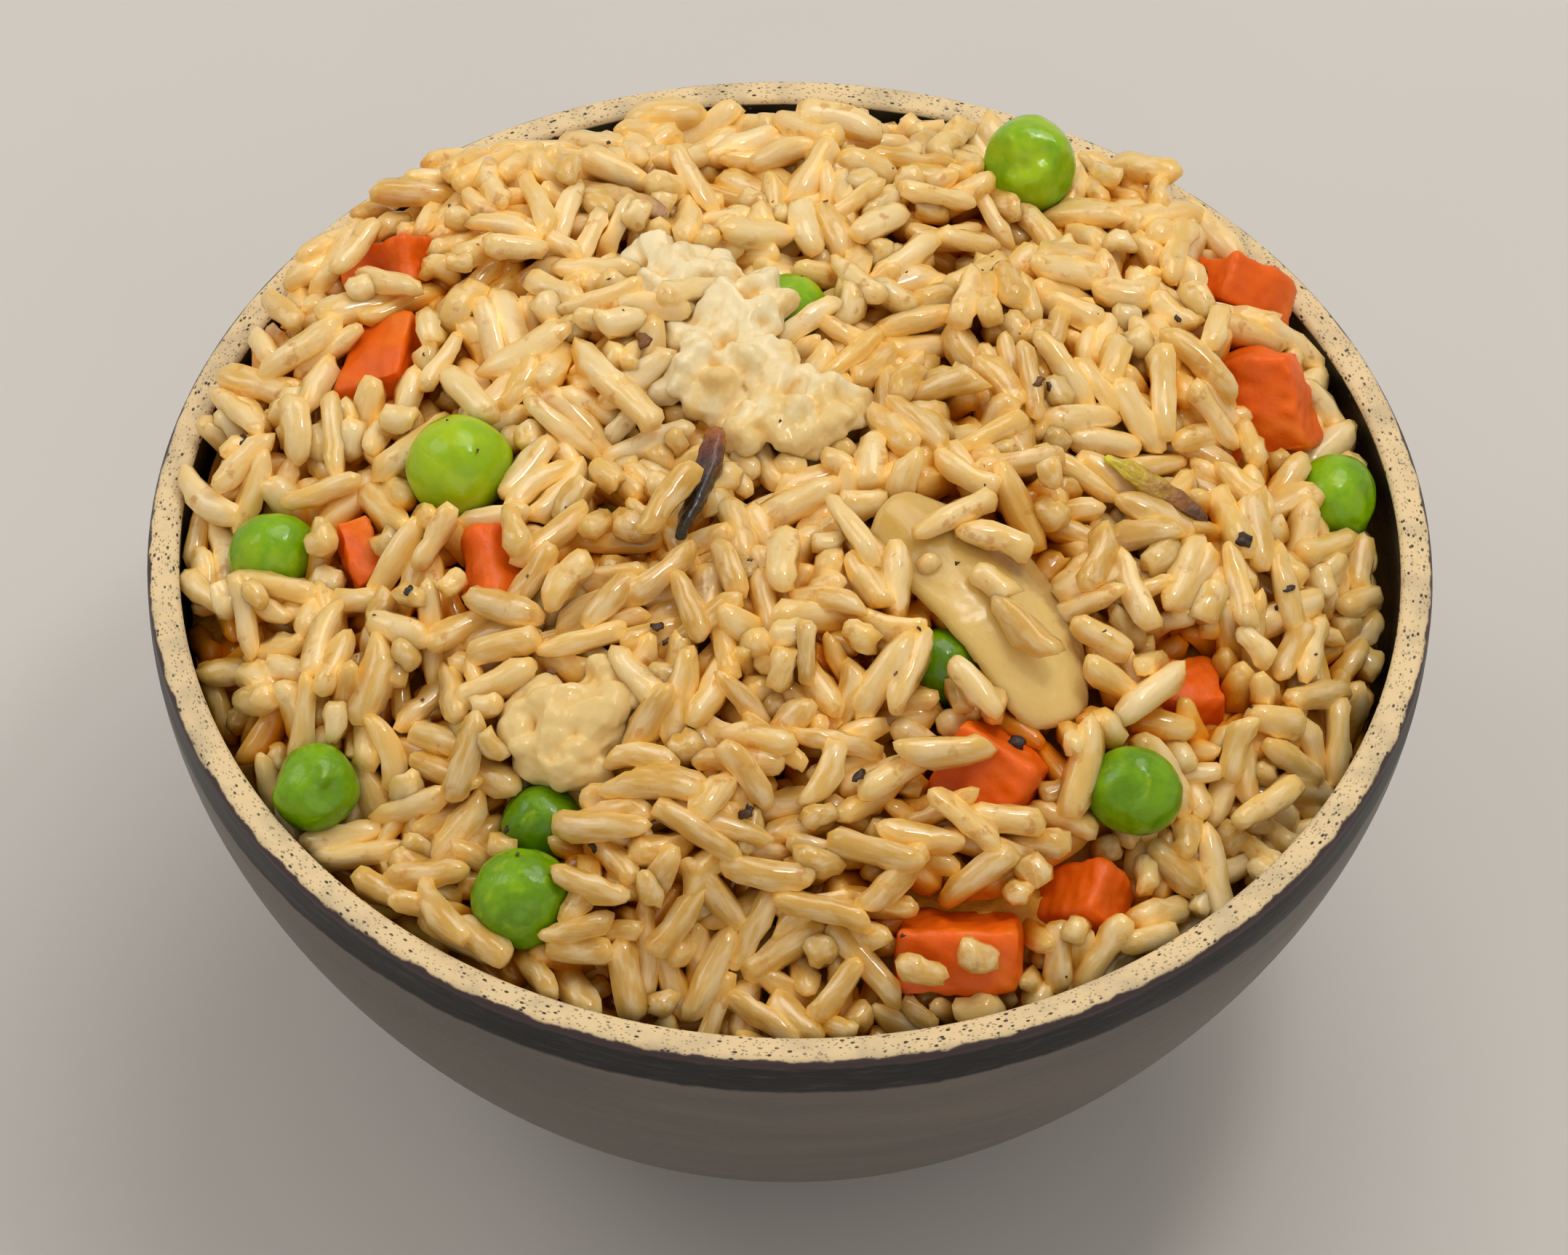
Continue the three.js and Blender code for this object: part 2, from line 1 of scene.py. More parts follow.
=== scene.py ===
# %% [markdown]
# # A bowl heaped with fried rice
# The object is a small stoneware rice bowl on a foot ring. It is heaped with long-grain fried rice,
# and ten peas, ten bits of carrot, a slice of onion, some browned strips and two pale clumps lie in
# the heap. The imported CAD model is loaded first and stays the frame: every piece below is made in
# its coordinates, so a piece that stands for a CAD node is already in the right place.

# %% Load the frame
import json
import math

import bmesh
import bpy
import numpy as np
from mathutils import Matrix, Vector

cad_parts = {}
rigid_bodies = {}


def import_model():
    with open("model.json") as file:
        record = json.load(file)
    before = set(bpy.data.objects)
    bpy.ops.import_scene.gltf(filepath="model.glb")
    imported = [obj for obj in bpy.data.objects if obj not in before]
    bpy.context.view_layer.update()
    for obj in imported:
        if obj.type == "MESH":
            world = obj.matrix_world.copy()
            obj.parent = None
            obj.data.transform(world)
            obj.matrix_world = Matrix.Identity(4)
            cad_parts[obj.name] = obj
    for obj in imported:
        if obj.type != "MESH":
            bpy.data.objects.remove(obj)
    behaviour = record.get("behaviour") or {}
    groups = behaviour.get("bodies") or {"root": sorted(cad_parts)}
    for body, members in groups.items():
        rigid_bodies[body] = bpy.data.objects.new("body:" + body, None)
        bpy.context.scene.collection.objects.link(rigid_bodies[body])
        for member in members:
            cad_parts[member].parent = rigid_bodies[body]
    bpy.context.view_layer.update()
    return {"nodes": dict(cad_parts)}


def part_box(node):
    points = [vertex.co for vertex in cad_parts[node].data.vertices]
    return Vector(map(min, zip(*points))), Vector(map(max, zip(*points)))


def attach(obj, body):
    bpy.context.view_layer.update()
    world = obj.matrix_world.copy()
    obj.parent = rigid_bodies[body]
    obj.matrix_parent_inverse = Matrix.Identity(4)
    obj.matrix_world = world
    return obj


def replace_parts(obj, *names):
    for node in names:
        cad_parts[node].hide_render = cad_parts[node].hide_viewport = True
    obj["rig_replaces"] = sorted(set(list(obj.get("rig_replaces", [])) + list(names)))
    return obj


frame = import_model()
MM = 0.001
SEED = 2417

# %% [markdown]
# ## Turning numbers into meshes
# A mesh is only a list of points and a list of faces that join them. Lengths are easier to read in
# millimetres, so every shape is worked out in millimetres with numpy, and one helper turns it into
# a mesh in metres. A second helper runs an object's modifiers and keeps the plain result,
# because the finished pieces carry no live modifiers.


# %% Mesh helpers
def mesh_object(name, points, faces):
    mesh = bpy.data.meshes.new(name)
    mesh.from_pydata((np.asarray(points) * MM).tolist(), [], [list(face) for face in faces])
    mesh.validate()
    made = bpy.data.objects.new(name, mesh)
    bpy.context.scene.collection.objects.link(made)
    return made


def points_of(obj):
    points = np.empty(len(obj.data.vertices) * 3)
    obj.data.vertices.foreach_get("co", points)
    return points.reshape(-1, 3) / MM


def normals_of(obj):
    normals = np.empty(len(obj.data.vertices) * 3)
    obj.data.vertices.foreach_get("normal", normals)
    return normals.reshape(-1, 3)


def move_points(obj, points):
    obj.data.vertices.foreach_set("co", (points * MM).ravel())
    obj.data.update()


def bake_modifiers(obj):
    depsgraph = bpy.context.evaluated_depsgraph_get()
    baked = bpy.data.meshes.new_from_object(obj.evaluated_get(depsgraph))
    obj.modifiers.clear()
    obj.data = baked
    return obj


def store(obj, name, values):
    attribute = obj.data.attributes.new(name, "FLOAT", "POINT")
    attribute.data.foreach_set("value", np.asarray(values, float))


def store_vectors(obj, name, values):
    attribute = obj.data.attributes.new(name, "FLOAT_VECTOR", "POINT")
    attribute.data.foreach_set("vector", np.asarray(values, float).ravel())


def finish_piece(obj, material, slot, *nodes):
    obj.data.materials.clear()
    obj.data.materials.append(material)
    obj.data.shade_smooth()
    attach(obj, "root")
    if nodes:
        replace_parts(obj, *nodes)
    triangles = sum(len(face.vertices) - 2 for face in obj.data.polygons)
    print(f"{obj.name}: {triangles} triangles")
    return obj


# %% [markdown]
# ## Unevenness
# Nothing that was cooked is a perfect ball or box. A sum of sine waves that run in random
# directions gives soft lumps at any point in space. It needs no texture, it is the same on every
# run for one seed, and its wavelength is a real length, so lumps can be sized in millimetres.


# %% Lumps from waves
def lumps(points, wavelength, seed, waves=16):
    random = np.random.default_rng(seed)
    directions = random.normal(size=(waves, 3))
    directions /= np.linalg.norm(directions, axis=1, keepdims=True)
    lengths = wavelength * random.uniform(0.7, 1.6, waves)
    phases = random.uniform(0, 2 * np.pi, waves)
    angles = 2 * np.pi * points @ (directions / lengths[:, None]).T + phases
    return np.sin(angles).sum(axis=1) * math.sqrt(2 / waves)


# %% [markdown]
# ## Building node trees
# Materials and Geometry Nodes are both trees of nodes. Made by hand, each node takes several
# lines: create it, set its options, fill or link its sockets. This helper does all of it at once,
# and links a socket whenever the value handed in is itself an output socket.


# %% Node helpers
def node(tree, kind, inputs=None, **options):
    made = tree.nodes.new(kind)
    for name, value in options.items():
        setattr(made, name, value)
    for key, value in (inputs or {}).items():
        if isinstance(value, bpy.types.NodeSocket):
            tree.links.new(value, made.inputs[key])
        else:
            made.inputs[key].default_value = value
    return made


def calculate(tree, operation, first, second=0.0, third=0.0, clamp=False):
    inputs = {0: first, 1: second, 2: third}
    return node(tree, "ShaderNodeMath", inputs, operation=operation, use_clamp=clamp).outputs[0]


def blend_colors(tree, share, first, second, mode="MIX"):
    inputs = {"Factor": share, 6: first, 7: second}
    mixed = node(tree, "ShaderNodeMix", inputs, data_type="RGBA", blend_type=mode)
    return mixed.outputs[2]


def product(tree, first, second):
    return calculate(tree, "MULTIPLY", first, second)


def tinge(tree, color, other, mask, strength):
    """Some of another colour over a colour, where a mask is bright."""
    return blend_colors(tree, product(tree, mask, strength), color, other)


def color_ramp(tree, value, stops):
    """A colour that runs through stops of (position, colour)."""
    ramp = node(tree, "ShaderNodeValToRGB", {"Fac": value})
    elements = ramp.color_ramp.elements
    for _ in stops[2:]:
        elements.new(1.0)
    for element, (position, color) in zip(elements, stops):
        element.position = position
        element.color = color
    return ramp.outputs["Color"]


def step_between(tree, value, low, high):
    """0 below low, 1 above high, and smooth between; low may be the larger, to turn it round."""
    inputs = {"Value": value, "From Min": low, "From Max": high}
    stepped = node(tree, "ShaderNodeMapRange", inputs, interpolation_type="SMOOTHSTEP")
    return stepped.outputs["Result"]


def noise(tree, vector, size, detail=3.0, roughness=0.55, distortion=0.0):
    """Cloudy values near 0.5, whose clouds are about as large as size, in millimetres."""
    inputs = {
        "Vector": vector,
        "Scale": 1 / (size * MM),
        "Detail": detail,
        "Roughness": roughness,
        "Distortion": distortion,
    }
    return node(tree, "ShaderNodeTexNoise", inputs).outputs[0]


def swing(tree, vector, size, detail, height):
    """Noise that swings about zero, by half of a height each way."""
    centred = calculate(tree, "SUBTRACT", noise(tree, vector, size, detail), 0.5)
    return product(tree, centred, height)


def specks(tree, vector, spacing, size):
    """1 inside small round specks, 0 between them; both lengths are in millimetres."""
    inputs = {"Vector": vector, "Scale": 1 / (spacing * MM)}
    distance = node(tree, "ShaderNodeTexVoronoi", inputs).outputs["Distance"]
    edge = size / spacing / 2
    return step_between(tree, distance, edge * 1.25, edge * 0.75)


def attribute(tree, name):
    return node(tree, "ShaderNodeAttribute", attribute_name=name).outputs["Fac"]


def new_material(name, **sockets):
    """A material with one Principled shader; returns it with its tree, shader and coordinates."""
    material = bpy.data.materials.new(name)
    material.use_nodes = True
    tree = material.node_tree
    shader = tree.nodes["Principled BSDF"]
    for socket, value in sockets.items():
        shader.inputs[socket.replace("_", " ")].default_value = value
    place = node(tree, "ShaderNodeTexCoord").outputs["Object"]
    return material, tree, shader, place


def raise_surface(tree, shader, height, depth):
    """Bump of a real depth in millimetres, under any wet coat, which stays smooth."""
    inputs = {"Height": height, "Strength": 1.0, "Distance": depth * MM}
    bump = node(tree, "ShaderNodeBump", inputs)
    tree.links.new(bump.outputs["Normal"], shader.inputs["Normal"])


def paint(tree, shader, **sockets):
    for socket, value in sockets.items():
        tree.links.new(value, shader.inputs[socket.replace("_", " ")])


# %% [markdown]
# ## The bowl
# A rice bowl is thrown on a wheel, so it is one profile turned about the upright axis. The wall is
# a single Bezier curve from the foot to the rim. Moving it inwards by the wall's thickness gives
# the inside, and two quarter circles close the rim. The profile is turned in small steps, and a
# wheel's faint throwing rings are added low on the outside as real ridges.

# %% Bowl sizes
RIM_RADIUS = 57.5
BOWL_HEIGHT = 60.0
WALL = 2.9
RIM_OUTER_ROUND = 0.9
RIM_INNER_ROUND = 0.7
RIM_STRAIGHT = 2.0
FOOT_HEIGHT = 6.0
FOOT_RADIUS = 25.0
FOOT_WIDTH = 4.0
FOOT_RECESS = 2.4
FOOT_CHAMFER = 0.5
BELLY_FULLNESS = 19.0
BELLY_BULGE = 0.4
BELLY_FLAT = 8.0
WALL_STEPS = 72
BOWL_STEPS = 180
THROWING_RINGS = [(13.0, 0.16, 0.8), (16.4, 0.2, 0.9), (20.6, 0.12, 1.0)]   # height, depth, width


# %% Bowl profile
def wall_profile(depth):
    """The wall's outer curve moved inwards by a depth, from the foot to the rim."""
    controls = np.array([
        (FOOT_RADIUS, FOOT_HEIGHT),
        (FOOT_RADIUS + BELLY_FLAT, FOOT_HEIGHT),
        (RIM_RADIUS + BELLY_BULGE, BOWL_HEIGHT - RIM_STRAIGHT - BELLY_FULLNESS),
        (RIM_RADIUS, BOWL_HEIGHT - RIM_STRAIGHT),
    ])
    share = np.linspace(0, 1, WALL_STEPS + 1)[:, None]
    rest = 1 - share
    curve = (rest**3 * controls[0] + 3 * rest**2 * share * controls[1]
             + 3 * rest * share**2 * controls[2] + share**3 * controls[3])
    along = np.gradient(curve, axis=0)
    along /= np.linalg.norm(along, axis=1, keepdims=True)
    return curve + depth * np.column_stack([-along[:, 1], along[:, 0]])


def quarter_turn(x, y, radius, start, steps=8):
    turn = np.radians(np.linspace(start, start + 90, steps))
    return np.column_stack([x + radius * np.cos(turn), y + radius * np.sin(turn)])


def bowl_profile():
    outside = wall_profile(0)
    for height, depth, width in THROWING_RINGS:
        outside[:, 0] -= depth * np.exp(-(((outside[:, 1] - height) / width) ** 2))
    inside = wall_profile(WALL)
    foot_inside = FOOT_RADIUS - FOOT_WIDTH
    rim_inside = RIM_RADIUS - WALL + RIM_INNER_ROUND
    return np.vstack([
        (0, FOOT_RECESS),
        (foot_inside - FOOT_CHAMFER, FOOT_RECESS),
        (foot_inside, 0),
        (FOOT_RADIUS - 2 * FOOT_CHAMFER, 0),
        (FOOT_RADIUS - FOOT_CHAMFER, FOOT_CHAMFER),
        outside,
        quarter_turn(RIM_RADIUS - RIM_OUTER_ROUND, BOWL_HEIGHT - RIM_OUTER_ROUND, RIM_OUTER_ROUND, 0),
        quarter_turn(rim_inside, BOWL_HEIGHT - RIM_INNER_ROUND, RIM_INNER_ROUND, 90),
        inside[::-1],
        (0, inside[0, 1]),
    ])


# %% Turn the bowl
def ring_faces(rings, sides):
    """Faces of a tube of rings of points, shut by the two points that follow the rings."""
    faces = []
    last = (rings - 1) * sides
    for side in range(sides):
        after = (side + 1) % sides
        for low in range(0, last, sides):
            high = low + sides
            faces.append((low + side, low + after, high + after, high + side))
        faces.append((after, side, rings * sides))
        faces.append((last + side, last + after, rings * sides + 1))
    return faces


def turn_profile(profile, steps):
    """Points and faces of a closed body turned from a profile that starts and ends on the axis."""
    rings = profile[1:-1]
    turn = np.linspace(0, 2 * np.pi, steps, endpoint=False)
    radius, height = rings[:, :1], rings[:, 1:]
    body = np.stack([
        radius * np.cos(turn),
        radius * np.sin(turn),
        np.broadcast_to(height, (len(rings), steps)),
    ], axis=-1).reshape(-1, 3)
    points = np.vstack([body, (0, 0, profile[0, 1]), (0, 0, profile[-1, 1])])
    return points, ring_faces(len(rings), steps)


bowl = mesh_object("stoneware_bowl", *turn_profile(bowl_profile(), BOWL_STEPS))
print("bowl in mm:", np.ptp(points_of(bowl), axis=0).round(1))

# %% [markdown]
# ## Stoneware and its glazes
# The clay body is charcoal-glazed inside and out, and the flat of the rim is wiped back to a cream
# slip full of iron specks, which the wheel has drawn out along the rim. Under the rim runs a black
# band brushed on while the bowl turned, and below it the satin glaze is a grey taupe. All of it
# depends on height and radius alone, so the material works those out from the object's coordinates
# and wobbles the borders with a little noise. Streaks and specks are stretched round the bowl by
# reading the noise in wound-up coordinates: the angle round the rim, the radius and the height.

# %% Stoneware material
CREAM_SLIP = (0.80, 0.60, 0.33, 1)
WORN_SLIP = (0.60, 0.46, 0.27, 1)
IRON_SPECK = (0.055, 0.045, 0.032, 1)
EDGE_LINE = (0.060, 0.036, 0.034, 1)
BLACK_BAND = (0.007, 0.006, 0.006, 1)
BAND_STREAK = (0.030, 0.026, 0.023, 1)
TAUPE = (0.115, 0.098, 0.084, 1)
TAUPE_WARM = (0.155, 0.128, 0.104, 1)
INNER_BLACK = (0.014, 0.013, 0.012, 1)
INNER_SPECK = (0.20, 0.19, 0.16, 1)
BARE_CLAY = (0.42, 0.33, 0.23, 1)
BAND_HEIGHT = 3.6


def around(tree, place, stretch):
    """Coordinates wound round the bowl, with lengths round it shrunk by a factor."""
    split = node(tree, "ShaderNodeSeparateXYZ", {0: place})
    x, y, z = split.outputs
    radius = calculate(tree, "SQRT", calculate(
        tree, "ADD", product(tree, x, x), product(tree, y, y)))
    angle = calculate(tree, "ARCTAN2", y, x)
    length = product(tree, angle, RIM_RADIUS * MM / stretch)
    wound = node(tree, "ShaderNodeCombineXYZ", {0: length, 1: radius, 2: z}).outputs[0]
    return wound, radius, z


def make_stoneware():
    material, tree, shader, place = new_material("stoneware", Specular_IOR_Level=0.35)
    wound, radius, height = around(tree, place, 7.0)
    near_round, _, _ = around(tree, place, 1.7)
    wobble = swing(tree, place, 3.0, 3, 0.9 * MM)
    level = calculate(tree, "ADD", height, wobble)
    across = calculate(tree, "ADD", radius, wobble)

    wear = step_between(tree, noise(tree, place, 5.0, 4), 0.42, 0.68)
    slip = blend_colors(tree, wear, CREAM_SLIP, WORN_SLIP)
    iron = product(tree, specks(tree, near_round, 0.52, 0.26), step_between(
        tree, noise(tree, place, 1.6, 2), 0.40, 0.56))
    fine = product(tree, specks(tree, near_round, 0.29, 0.14), 0.6)
    slip = blend_colors(tree, calculate(tree, "MAXIMUM", iron, fine), slip, IRON_SPECK)

    streaks = step_between(tree, noise(tree, wound, 0.45, 3), 0.52, 0.74)
    band = blend_colors(tree, streaks, BLACK_BAND, BAND_STREAK)
    tone = step_between(tree, noise(tree, wound, 3.0, 4), 0.35, 0.7)
    glaze = blend_colors(tree, tone, TAUPE, TAUPE_WARM)
    band_edge = (BOWL_HEIGHT - RIM_OUTER_ROUND - BAND_HEIGHT) * MM
    in_band = step_between(tree, level, band_edge - 0.25 * MM, band_edge + 0.25 * MM)
    outside = blend_colors(tree, in_band, glaze, band)

    grit = product(tree, specks(tree, place, 1.1, 0.3), 0.8)
    inside = blend_colors(tree, grit, INNER_BLACK, INNER_SPECK)
    wall_middle = (RIM_RADIUS - WALL / 2) * MM
    facing = node(tree, "ShaderNodeSeparateXYZ", {
        0: node(tree, "ShaderNodeTexCoord").outputs["Normal"]})
    outward = node(tree, "ShaderNodeVectorMath", {
        0: place, 1: node(tree, "ShaderNodeTexCoord").outputs["Normal"]}, operation="DOT_PRODUCT")
    side = step_between(tree, calculate(
        tree, "SUBTRACT", outward.outputs["Value"],
        product(tree, height, facing.outputs[2])), -0.002, 0.002)
    color = blend_colors(tree, side, inside, outside)

    outer_edge = (RIM_RADIUS - 0.28) * MM
    on_top = step_between(tree, height, (BOWL_HEIGHT - 0.62) * MM, (BOWL_HEIGHT - 0.38) * MM)
    in_rim = product(tree, on_top, step_between(
        tree, across, outer_edge + 0.1 * MM, outer_edge - 0.1 * MM))
    in_line = product(tree, step_between(
        tree, level, (BOWL_HEIGHT - 1.25) * MM, (BOWL_HEIGHT - 0.85) * MM), step_between(
            tree, radius, wall_middle, wall_middle + 0.3 * MM))
    color = blend_colors(tree, in_line, color, EDGE_LINE)
    color = blend_colors(tree, in_rim, color, slip)
    in_foot = step_between(tree, height, 1.0 * MM, 0.6 * MM)
    color = blend_colors(tree, in_foot, color, BARE_CLAY)

    matte = calculate(tree, "MAXIMUM", in_rim, in_foot)
    gloss = calculate(tree, "ADD", 0.40, product(tree, tone, 0.12))
    roughness = calculate(tree, "ADD", gloss, product(tree, matte, 0.32))
    paint(tree, shader, Base_Color=color, Roughness=roughness)
    grain = calculate(tree, "ADD", noise(tree, wound, 0.5, 3), product(
        tree, noise(tree, place, 0.35, 2), 0.6))
    raise_surface(tree, shader, grain, 0.05)
    return material


finish_piece(bowl, make_stoneware(), "stoneware", "bowl")

# %% [markdown]
# ## The heap's surface
# The rice is a shallow dome whose edge rises and falls round the wall. One formula gives its height
# at any point, and the toppings are placed by it. A spoon leaves dips and rises, and the heap sinks
# along parts of the wall, so a second formula adds those for the loose grains. Under them lies
# packed rice that shows only as warm gaps, so it is one plain body: the same surface, sunk, and
# coloured dark amber as painted shade.

# %% Heap sizes
DOME_HEIGHT = 13.0
HEAP_RADIUS = 54.0
DOME_POWER = 2.2
EDGE_MEAN = -0.3
EDGE_WAVES = [(1, -1.6, 3.4), (2, -0.1, -0.3), (3, -0.5, 1.1), (4, -1.2, 0.0)]
ROUGHNESS = [(1.1, 15.0), (0.9, 8.0)]           # height and wavelength of the heap's bumps
# Bearing, width and depth of the places where the heap has sunk along the wall
HOLLOWS = [(108, 10, 7.5), (82, 12, 6.5), (154, 10, 2.6), (190, 25, 2.2), (18, 30, 3.2), (-35, 30, 2.2),
           (-110, 40, 1.0)]
# Dips and rises of the heap: x, y, reach and height
SWELLS = [
    (11, 15, 8, -2.0), (-8, -19, 4, -1.6), (-17, 3, 4.5, -1.4), (15, 28, 4.5, -1.4),
    (-26, -5, 4, -1.2), (28, -33, 4, -1.0), (-25, 28, 8, 1.2), (5, 37, 8, 1.0), (-18, -17, 7, 0.8),
]
PACKED_DEPTH = 5.6
WALL_GAP = 0.9


def heap_height(x, y):
    turn = np.arctan2(y, x)
    edge = EDGE_MEAN + sum(
        cosine * np.cos(waves * turn) + sine * np.sin(waves * turn)
        for waves, cosine, sine in EDGE_WAVES)
    outward = np.minimum(np.hypot(x, y) / HEAP_RADIUS, 1) ** DOME_POWER
    return BOWL_HEIGHT + DOME_HEIGHT * (1 - outward) + edge * outward


def heap_normal(x, y):
    step = 0.5
    slope_x = heap_height(x + step, y) - heap_height(x - step, y)
    slope_y = heap_height(x, y + step) - heap_height(x, y - step)
    normal = np.stack([-slope_x, -slope_y, np.full_like(slope_x, 2 * step)], axis=-1)
    return normal / np.linalg.norm(normal, axis=-1, keepdims=True)


def hollow_depth(x, y):
    """Extra depth near the wall, where the heap has sunk below the rim."""
    bearing = np.degrees(np.arctan2(y, x))
    outward = (np.hypot(x, y) / HEAP_RADIUS).clip(0, 1.05) ** 7
    dips = sum(depth * np.exp(-(((bearing - middle + 180) % 360 - 180) / half_width) ** 2)
               for middle, half_width, depth in HOLLOWS)
    return dips * outward


def local_height(x, y):
    """The heap's surface with its bumps and hollows."""
    flat = np.column_stack([x, y, np.zeros(len(x))])
    bumps = sum(height * lumps(flat, wavelength, SEED) for height, wavelength in ROUGHNESS)
    swells = sum(
        height * np.exp(-((x - middle_x) ** 2 + (y - middle_y) ** 2) / reach**2)
        for middle_x, middle_y, reach, height in SWELLS)
    return heap_height(x, y) + bumps + swells - hollow_depth(x, y)


inner_wall = wall_profile(WALL)


def inner_radius(z):
    return np.interp(z, inner_wall[:, 1], inner_wall[:, 0])


# %% Packed rice
def make_packed_rice():
    inside = wall_profile(WALL + WALL_GAP)[::6]
    profile = [(0, inside[0, 1]), *inside]
    profile += [(radius, BOWL_HEIGHT) for radius in np.linspace(inside[-1, 0], 0, 40)]
    body = mesh_object("rice_packed", *turn_profile(np.array(profile), 120))
    points = points_of(body)
    sunk = local_height(points[:, 0], points[:, 1]) - PACKED_DEPTH + 0.8 * lumps(points, 4.0, SEED)
    points[:, 2] = np.minimum(points[:, 2], sunk)
    move_points(body, points)
    return body


packed_rice = make_packed_rice()

# %% [markdown]
# ## Peas
# Cooked peas are glossy balls whose skins have slackened: flattened where they were squeezed, with
# shallow dimples and fine wrinkles. Each starts from an icosphere, whose triangles are all alike
# and so have no poles. Flats are made by pressing a plane into the ball, dimples by pulling the
# skin in round a direction, and the rest is lumps. The centre and size come from the CAD node.


# %% Pea shapes
def make_ball(name, centre, radii, detail):
    shape = bmesh.new()
    bmesh.ops.create_icosphere(shape, subdivisions=detail, radius=1.0)
    mesh = bpy.data.meshes.new(name)
    shape.to_mesh(mesh)
    shape.free()
    ball = bpy.data.objects.new(name, mesh)
    bpy.context.scene.collection.objects.link(ball)
    return ball, points_of(ball) * MM * np.asarray(radii) + np.asarray(centre)


def press_flat(points, centre, direction, height, firmness):
    """Presses a plane into a body, square to a direction, at a height from its centre."""
    direction = np.asarray(direction, float) / np.linalg.norm(direction)
    over = np.maximum((points - centre) @ direction - height, 0)
    return points - firmness * over[:, None] * direction


def dimple(points, centre, direction, depth, width):
    direction = np.asarray(direction, float) / np.linalg.norm(direction)
    offset = points - centre
    outward = offset / np.linalg.norm(offset, axis=1, keepdims=True)
    apart = 1 - outward @ direction
    return points - outward * (depth * np.exp(-apart / width))[:, None]


PEA_COUNT = 10
PEA_FLATS = {
    "pea_02": [((-0.9, -0.5, 0.5), 0.80), ((0.7, -0.7, 0.3), 0.82), ((0.1, -0.6, 0.9), 0.86)],
    "pea_05": [((0.3, -0.8, 0.7), 0.90), ((-0.9, 0.1, 0.3), 0.88)],
    "pea_09": [((-0.3, -0.7, 0.7), 0.93)],
    "pea_10": [((0.8, -0.5, 0.6), 0.88)],
}
PEA_DIMPLES = {
    "pea_01": [((0.05, -0.75, 0.55), 0.22, 0.03)],
    "pea_02": [((-0.25, -0.8, 0.75), 0.55, 0.035), ((0.35, -0.5, 0.95), 0.4, 0.02)],
    "pea_05": [((0.25, -0.5, 0.9), -0.35, 0.012), ((0.45, -0.6, 0.8), 0.3, 0.03)],
    "pea_07": [((-0.5, -0.6, 0.6), 0.18, 0.05)],
}


def make_pea(index):
    name = f"pea_{index:02d}"
    low, high = (np.array(corner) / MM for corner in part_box(name))
    centre = (low + high) / 2
    radii = (high - low) / 2
    pea, points = make_ball(f"{name}_skin", centre, radii, 5)
    size = radii.mean()
    for direction, height in PEA_FLATS.get(name, []):
        points = press_flat(points, centre, direction, height * size, 0.75)
    for direction, depth, width in PEA_DIMPLES.get(name, []):
        points = dimple(points, centre, direction, depth, width)
    outward = (points - centre) / size
    slack = 0.10 * lumps(points, 5.5, SEED + index) + 0.022 * lumps(points, 1.5, SEED - index)
    move_points(pea, points + outward * (slack - 0.05)[:, None])
    return pea


# %% [markdown]
# ## Pea skin
# The skin is thin, wet and slightly see-through, so light spreads under it: that is subsurface
# scattering, green going furthest. The colour drifts between a yellow green and a deeper one in
# soft patches, with paler, yellower spots where the skin has rubbed.

# %% Pea material
PEA_GREEN = (0.19, 0.40, 0.001, 1)
PEA_DEEP = (0.065, 0.19, 0.0005, 1)
PEA_YELLOW = (0.38, 0.54, 0.004, 1)
PEA_TONES = [1.0, 0.75, 0.7, 0.6, 0.4, 0.05, 0.35, 0.2, 0.3, 0.5]      # deep to light, pea by pea


def make_pea_skin():
    material, tree, shader, place = new_material(
        "pea_skin", Roughness=0.17, Subsurface_Weight=0.15, Subsurface_Radius=(0.5, 1.0, 0.05),
        Subsurface_Scale=1.2 * MM, Specular_IOR_Level=0.38)
    patches = step_between(tree, noise(tree, place, 4.0, 3), 0.38, 0.66)
    tone = calculate(tree, "ADD", attribute(tree, "tone"), calculate(
        tree, "SUBTRACT", product(tree, patches, 0.4), 0.2), clamp=True)
    color = color_ramp(tree, tone, [(0, PEA_DEEP), (0.6, PEA_GREEN), (1, PEA_YELLOW)])
    pale = step_between(tree, noise(tree, place, 2.2, 2, distortion=0.6), 0.58, 0.74)
    color = tinge(tree, color, PEA_YELLOW, pale, 0.45)
    mottle = noise(tree, place, 0.5, 3)
    color = tinge(tree, color, PEA_YELLOW, mottle, 0.25)
    paint(tree, shader, Base_Color=color)
    wrinkles = noise(tree, place, 0.9, 4, distortion=1.2)
    raise_surface(tree, shader, wrinkles, 0.05)
    return material


pea_skin = make_pea_skin()
for number in range(1, PEA_COUNT + 1):
    pea = make_pea(number)
    store(pea, "tone", np.full(len(pea.data.vertices), PEA_TONES[number - 1]))
    finish_piece(pea, pea_skin, "pea", f"pea_{number:02d}")

# %% [markdown]
# ## Carrot
# The dice were cut square and then cooked soft, so corners and edges are worn, faces sag and the
# cut surface is slightly fibrous. A copy of the CAD dice is rebuilt with small even faces by the
# Remesh modifier and rounded by Smooth. Then lumps are pressed in along the surface's own normals.


# %% Rebuild a CAD node finely
def fine_copy(name, copy_name, voxel, smoothing):
    """A closed copy of a CAD node with even faces; both it and its place are the node's own."""
    source = frame["nodes"][name].data
    shape = bmesh.new()
    shape.from_mesh(source)
    bmesh.ops.remove_doubles(shape, verts=shape.verts, dist=0.001 * MM)
    mesh = bpy.data.meshes.new(copy_name)
    shape.to_mesh(mesh)
    shape.free()
    copy = bpy.data.objects.new(copy_name, mesh)
    bpy.context.scene.collection.objects.link(copy)
    remesh = copy.modifiers.new("remesh", "REMESH")
    remesh.mode = "VOXEL"
    remesh.voxel_size = voxel * MM
    smooth = copy.modifiers.new("smooth", "SMOOTH")
    smooth.factor = 0.5
    smooth.iterations = smoothing
    return bake_modifiers(copy)


